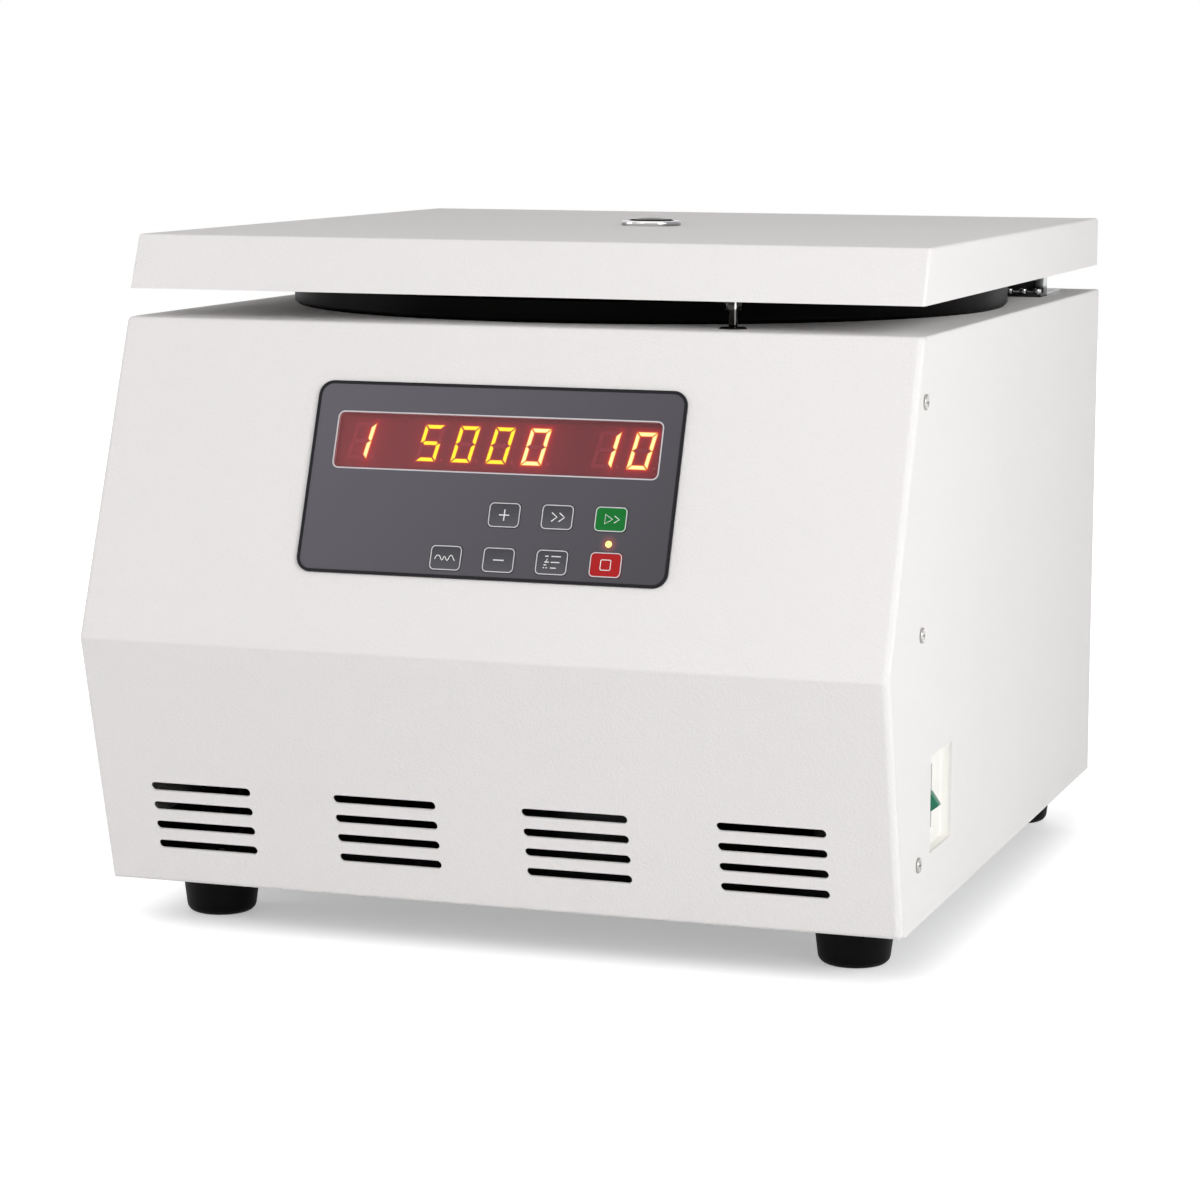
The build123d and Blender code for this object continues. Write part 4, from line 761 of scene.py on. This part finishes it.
RAMP_WAVE = [(-5.9, -0.9), (-5.6, 0.3), (-4.8, 1.2), (-3.9, 1.2), (-3.1, 0.5), (-2.6, -0.6),
             (-2.0, -1.3), (-1.5, -0.9), (-1.0, 0.5), (-0.6, 0.8), (0.0, -0.2), (0.6, -1.2),
             (1.1, -1.4), (1.6, -0.5), (2.0, 0.7), (2.7, 1.5), (3.5, 1.2), (4.1, 0.1),
             (4.7, -1.0), (5.2, -1.2)]
LIST_DASHES = [(3.2, -3.8, -1.9), (3.2, -0.4, 4.7), (0.1, -3.8, -1.4), (0.1, -0.4, 4.3),
               (-1.4, -4.1, -2.6), (-2.9, -4.4, -3.6), (-2.9, -2.9, -2.1), (-2.9, -0.4, 2.7)]


def key_marks(name):
    """The symbol printed on a key, as strokes in millimetres."""
    if name == "key_plus":
        return [stroke([(-2.8, 0), (2.8, 0)], MARK_LINE), stroke([(0, -3.0), (0, 3.0)], MARK_LINE)]
    if name == "key_minus":
        return [stroke([(-2.9, 0), (2.9, 0)], MARK_LINE)]
    if name == "key_spin":
        return [stroke(chevron(x, 2.9, 2.3), MARK_LINE) for x in (-3.1, 1.0)]
    if name == "key_start":
        triangle = [(-3.1, 2.5), (1.0, 0.0), (-3.1, -2.5)]
        return [stroke(triangle, SIGN_LINE, True), stroke(chevron(1.9, 2.7, 1.8), SIGN_LINE)]
    if name == "key_stop":
        corners = [(-2.7, 2.2), (-2.2, 2.7), (2.2, 2.7), (2.7, 2.2)]
        return [stroke(corners + [(-x, -y) for x, y in corners], SIGN_LINE, True)]
    if name == "key_ramp":
        return [stroke(RAMP_WAVE, WAVE_LINE)]
    marks = [stroke([(low, y), (high, y)], DASH_LINE) for y, low, high in LIST_DASHES]
    return marks + [stroke([(-2.4, 1.8), (-3.2, 0.3)], TICK_LINE)]


def build_keys():
    colours = {"key_start": (KEY_GREEN, 0.0), "key_stop": (KEY_RED, 0.0)}
    for name, (x, s) in KEY_AT.items():
        colour, shade = colours.get(name, (KEY_GREY, 0.42))
        dress(name, key_finish(name, colour, shade))
        ring = outline_ring(*KEY_SIZE, KEY_RING_R, KEY_RING_LINE, PRINT_T)
        onto_panel(ring, x, s, KEY_TOP)
        settle(ring, name + "_outline", name, print_light)
        mark = joined(key_marks(name))
        onto_panel(mark, x, s, KEY_TOP)
        settle(mark, name + "_mark", name, print_white, 40)


# ---------------------------------------------------------------- display

def segment_outline(segment):
    """Corners of one segment of an upright digit, anticlockwise, from its lower left corner."""
    width, height, line, gap = DIGIT_W, DIGIT_H, STROKE, STROKE_GAP * 1.4
    middle = height / 2
    if segment == "g":
        end, lip = line / 2 + gap, line + gap / 2
        low, high = middle - line / 2, middle + line / 2
        return [(end, middle), (lip, low), (width - lip, low), (width - end, middle),
                (width - lip, high), (lip, high)]
    if segment in "ad":
        outer, inner = gap, line + gap
        bottom = [(outer, 0.0), (width - outer, 0.0), (width - inner, line), (inner, line)]
        return bottom if segment == "d" else turned_over(bottom, "y")
    lower_left = [(0.0, gap), (line, line + gap), (line, middle - line / 2 - gap / 2),
                  (line * 0.4, middle - gap / 2), (0.0, middle - gap / 2)]
    corners = lower_left if segment in "ec" else turned_over(lower_left, "y")
    return corners if segment in "ef" else turned_over(corners, "x")


def turned_over(corners, axis):
    """The outline mirrored in the digit, still anticlockwise."""
    if axis == "x":
        return [(DIGIT_W - x, y) for x, y in reversed(corners)]
    return [(x, DIGIT_H - y) for x, y in reversed(corners)]


def inset(corners, distance):
    """An outline moved inwards by a distance; its corners run anticlockwise."""
    sides = []
    for (x0, y0), (x1, y1) in zip(corners, corners[1:] + corners[:1]):
        length = math.hypot(x1 - x0, y1 - y0)
        along = ((x1 - x0) / length, (y1 - y0) / length)
        sides.append((x0 - along[1] * distance, y0 + along[0] * distance, *along))
    moved = []
    for (x0, y0, u0, v0), (x1, y1, u1, v1) in zip(sides[-1:] + sides[:-1], sides):
        reach = ((x1 - x0) * v1 - (y1 - y0) * u1) / (u0 * v1 - v0 * u1)
        moved.append((x0 + u0 * reach, y0 + v0 * reach))
    return moved


def leaning(points):
    return [(x + y * DIGIT_LEAN, y) for x, y in points]


def filled(outlines, thick):
    """Flat plates with the given outlines in millimetres, in one piece."""
    curve = bpy.data.curves.new("plate", "CURVE")
    curve.dimensions = "2D"
    curve.fill_mode = "BOTH"
    curve.extrude = thick * MM / 2
    for outline in outlines:
        spline = curve.splines.new("POLY")
        spline.points.add(len(outline) - 1)
        for knot, (x, y) in zip(spline.points, outline):
            knot.co = (x * MM, y * MM, 0.0, 1.0)
        spline.use_cyclic_u = True
    piece = bpy.data.objects.new("plate", curve)
    bpy.context.collection.objects.link(piece)
    select_only(piece)
    bpy.ops.object.convert(target="MESH")
    piece = bpy.context.object
    edit(piece)
    bpy.ops.mesh.remove_doubles(threshold=0.000001)
    bpy.ops.mesh.normals_make_consistent(inside=False)
    leave_edit()
    return piece


def digit_piece(name, x, outlines, level, finish):
    """Segments of one digit, standing on the face of the digit blocks."""
    piece = filled([leaning(outline) for outline in outlines], SEGMENT_T)
    onto_panel(piece, x, DIGIT_FOOT, DIGIT_FACE + level)
    return settle(piece, name, "case", finish)


def glow_sources():
    """Corners of the lit segments on the panel, each with its brightness."""
    sources = []
    for x, figure, bright in LIT_DIGITS:
        for segment in SEGMENTS[figure]:
            corners = [(x + px, DIGIT_FOOT + py) for px, py in leaning(segment_outline(segment))]
            sources.append((corners, 1.0 if bright else YELLOW_LEVEL))
    return sources


def distance_to(corners, x, y):
    """From a point to an outline's edge, negative inside it."""
    nearest, inside = 1000.0, True
    for (x0, y0), (x1, y1) in zip(corners, corners[1:] + corners[:1]):
        dx, dy = x1 - x0, y1 - y0
        along = ((x - x0) * dx + (y - y0) * dy) / (dx * dx + dy * dy)
        along = max(0.0, min(1.0, along))
        nearest = min(nearest, math.hypot(x - x0 - along * dx, y - y0 - along * dy))
        inside = inside and dx * (y - y0) - dy * (x - x0) >= 0
    return -nearest if inside else nearest


def glow_at(sources, x, y):
    near = wide = 0.0
    for corners, level in sources:
        if abs(corners[0][0] - x) < 5 * WIDE_GLOW[0]:
            away = max(0.0, distance_to(corners, x, y))
            near = max(near, level * math.exp(-away / NEAR_GLOW[0]))
            wide = max(wide, level * math.exp(-away / WIDE_GLOW[0]))
    return NEAR_GLOW[1] * near + WIDE_GLOW[1] * wide


def build_digit_face():
    """Face of the digit blocks: a fine grid whose glow fades away from the lit segments."""
    width, height = 2 * DISPLAY_HALF_W - 2, DISPLAY_S[1] - DISPLAY_S[0] - 3
    middle = sum(DISPLAY_S) / 2
    bpy.ops.object.select_all(action="DESELECT")
    bpy.ops.mesh.primitive_grid_add(x_subdivisions=330, y_subdivisions=60, size=1.0)
    face = bpy.context.object
    face.scale = (width * MM, height * MM, 1.0)
    bpy.ops.object.transform_apply(scale=True)
    sources = glow_sources()
    glow = face.data.attributes.new("glow", "FLOAT", "POINT")
    for vertex in face.data.vertices:
        x, y = vertex.co.x / MM + DISPLAY_X, vertex.co.y / MM + middle
        glow.data[vertex.index].value = glow_at(sources, x, y)
    finish_with(face, "SOLIDIFY", thickness=0.05 * MM, offset=1.0)
    onto_panel(face, DISPLAY_X, middle, DIGIT_FACE)
    settle(face, "digit_face", "case", digit_face())


def build_seams():
    """Dark joints between the digit blocks."""
    low, high = DISPLAY_S[0] + 2, DISPLAY_S[1] - 2
    half = SEAM_W / 2
    strips = [[(x - half, low), (x + half, low), (x + half, high), (x - half, high)]
              for x in BLOCK_SEAMS]
    seams = filled(strips, 0.04)
    onto_panel(seams, 0, 0, DIGIT_FACE + SEAM_LEVEL)
    dark = moulded_plastic("block_seam", (0.01, 0.004, 0.004), 0.6)
    settle(seams, "block_seams", "case", dark)


def build_digits():
    yellow_rim = glowing("digit_yellow_rim", (1.0, 0.3, 0.0), 1.7)
    yellow_core = glowing("digit_yellow", (1.0, 0.78, 0.0), 3.6)
    hot_rim = glowing("digit_hot_rim", (1.0, 0.45, 0.02), 3.0)
    hot_core = glowing("digit_hot", (1.0, 0.9, 0.36), 3.3)
    unlit = moulded_plastic("digit_unlit", (0.55, 0.05, 0.09), 0.45)
    for place, (x, figure, bright) in enumerate(LIT_DIGITS):
        rim, core = (hot_rim, hot_core) if bright else (yellow_rim, yellow_core)
        lit = [segment_outline(segment) for segment in SEGMENTS[figure]]
        dark = [segment_outline(segment) for segment in "abcdefg"
                if segment not in SEGMENTS[figure]]
        dark.append(arc_points(*POINT_AT, POINT_R, 0, 330, 11))
        cores = [inset(corners, CORE_INSET) for corners in lit]
        digit_piece(f"digit_rim_{place}", x, lit, RIM_LEVEL, rim)
        digit_piece(f"digit_core_{place}", x, cores, CORE_LEVEL, core)
        digit_piece(f"digit_dark_{place}", x, dark, UNLIT_LEVEL, unlit)


def build_display():
    """The red window, its printed outline and the digits behind it."""
    width, height = 2 * DISPLAY_HALF_W, DISPLAY_S[1] - DISPLAY_S[0]
    middle = sum(DISPLAY_S) / 2
    pane = flat_plate(width, height, DISPLAY_R)
    finish_with(pane, "SOLIDIFY", thickness=PANE_T * MM, offset=-1.0)
    onto_panel(pane, DISPLAY_X, middle, OVERLAY_T)
    settle(pane, "display_pane", "case", display_pane())
    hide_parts("display_window")
    out = DISPLAY_LINE_OUT
    ring = outline_ring(width + 2 * out, height + 2 * out, DISPLAY_R + out, DISPLAY_LINE, PRINT_T)
    onto_panel(ring, DISPLAY_X, middle, OVERLAY_T)
    settle(ring, "display_outline", "case", print_light)
    build_digit_face()
    build_seams()
    build_digits()


def build_overlay_border():
    """Raised dark rim round the printed overlay."""
    rim_finish = printed_film("overlay_rim", (0.006, 0.006, 0.008))
    width, height = 2 * OVERLAY_HALF_W, OVERLAY_S[1] - OVERLAY_S[0]
    rim = outline_ring(width, height, OVERLAY_R, OVERLAY_RIM_W, OVERLAY_RIM_H)
    finish_with(rim, "BEVEL", width=OVERLAY_RIM_EDGE * MM, segments=2, limit_method="ANGLE")
    onto_panel(rim, 0, sum(OVERLAY_S) / 2, OVERLAY_T)
    settle(rim, "overlay_border", "case", rim_finish, 40)


build_keys()
build_display()
build_overlay_border()


# ---------------------------------------------------------------- stage, light and camera

def build_stage():
    """White floor that keeps the object's shadow, with a shadow also painted under the case's
    outline.
    """
    bpy.ops.object.select_all(action="DESELECT")
    bpy.ops.mesh.primitive_plane_add(size=FLOOR_SIZE)
    floor = bpy.context.object
    floor.name = "floor"
    paper = Finish("floor_paper", (0.86, 0.86, 0.865), 0.6)
    tree = paper.tree
    rays = [paper.node("ShaderNodeLightPath", output=ray) for ray in BACKGROUND_RAYS]
    seen = (rays[0] + rays[1] + rays[2]).clamped()
    glow = tree.nodes.new("ShaderNodeEmission")
    glow.inputs["Color"].default_value = (1.0, 1.0, 1.0, 1.0)
    far = paper.node("ShaderNodeVectorMath", {"operation": "LENGTH"}, [paper.place()], output=1)
    fade = paper.ramp(far, *FAR_FLOOR)
    outside_painted_shadow = (paper.side_ramp(0, *PAINTED_SHADOW_EDGES[0]) + paper.side_ramp(1, *PAINTED_SHADOW_EDGES[1])).clamped()
    level = fade * FAR_GLOW + outside_painted_shadow * PAINTED_SHADOW_GLOW + FLOOR_GLOW
    paper.feed(glow.inputs["Strength"], seen * level)
    both = tree.nodes.new("ShaderNodeAddShader")
    tree.links.new(paper.shader.outputs[0], both.inputs[0])
    tree.links.new(glow.outputs[0], both.inputs[1])
    tree.links.new(both.outputs[0], tree.nodes["Material Output"].inputs[0])
    floor.data.materials.append(paper.material)


def build_world():
    """White background to the camera, metal and glass, and a soft light on everything."""
    world = bpy.data.worlds.new("studio")
    bpy.context.scene.world = world
    world.use_nodes = True
    tree = world.node_tree
    ambient = tree.nodes["Background"]
    ambient.inputs["Color"].default_value = (1.0, 1.0, 1.0, 1.0)
    path = tree.nodes.new("ShaderNodeLightPath")
    level = tree.nodes.new("ShaderNodeMapRange")
    level.inputs["To Min"].default_value = ROOM_LIGHT
    level.inputs["To Max"].default_value = 1.0
    total = path.outputs[BACKGROUND_RAYS[0]]
    for ray in BACKGROUND_RAYS[1:]:
        added = tree.nodes.new("ShaderNodeMath")
        tree.links.new(total, added.inputs[0])
        tree.links.new(path.outputs[ray], added.inputs[1])
        total = added.outputs[0]
    tree.links.new(total, level.inputs["Value"])
    tree.links.new(level.outputs[0], ambient.inputs["Strength"])


def softbox(name, place, size, power, colour):
    """Rectangular lamp aimed at the middle of the object."""
    bpy.ops.object.select_all(action="DESELECT")
    bpy.ops.object.light_add(type="AREA", location=place)
    lamp = bpy.context.object
    lamp.name = name
    lamp.data.shape = "RECTANGLE"
    lamp.data.size, lamp.data.size_y = size
    lamp.data.energy = power
    lamp.data.color = colour
    aim = LAMP_AIM - Vector(place)
    lamp.rotation_euler = aim.to_track_quat("-Z", "Y").to_euler()


def build_camera():
    turn, down = math.radians(CAMERA_TURN), math.radians(CAMERA_DOWN)
    flat = math.cos(down)
    back = Vector((math.sin(turn) * flat, -math.cos(turn) * flat, math.sin(down)))
    right = (-back).cross(Vector((0, 0, 1))).normalized()
    up = back.cross(right)
    roll = Matrix.Rotation(math.radians(CAMERA_ROLL), 3, back)
    right, up = roll @ right, roll @ up
    data = bpy.data.cameras.new("camera")
    data.sensor_width = SENSOR
    data.lens = FOCAL_PX * SENSOR / FRAME_PX
    camera = bpy.data.objects.new("camera", data)
    bpy.context.collection.objects.link(camera)
    pose = Matrix((right, up, back)).transposed().to_4x4()
    pose.translation = CAMERA_TARGET + back * CAMERA_DISTANCE
    camera.matrix_world = pose
    bpy.context.scene.camera = camera


build_stage()
build_world()
for lamp in LAMPS:
    softbox(*lamp)
build_camera()
bpy.context.scene.view_settings.view_transform = "Standard"
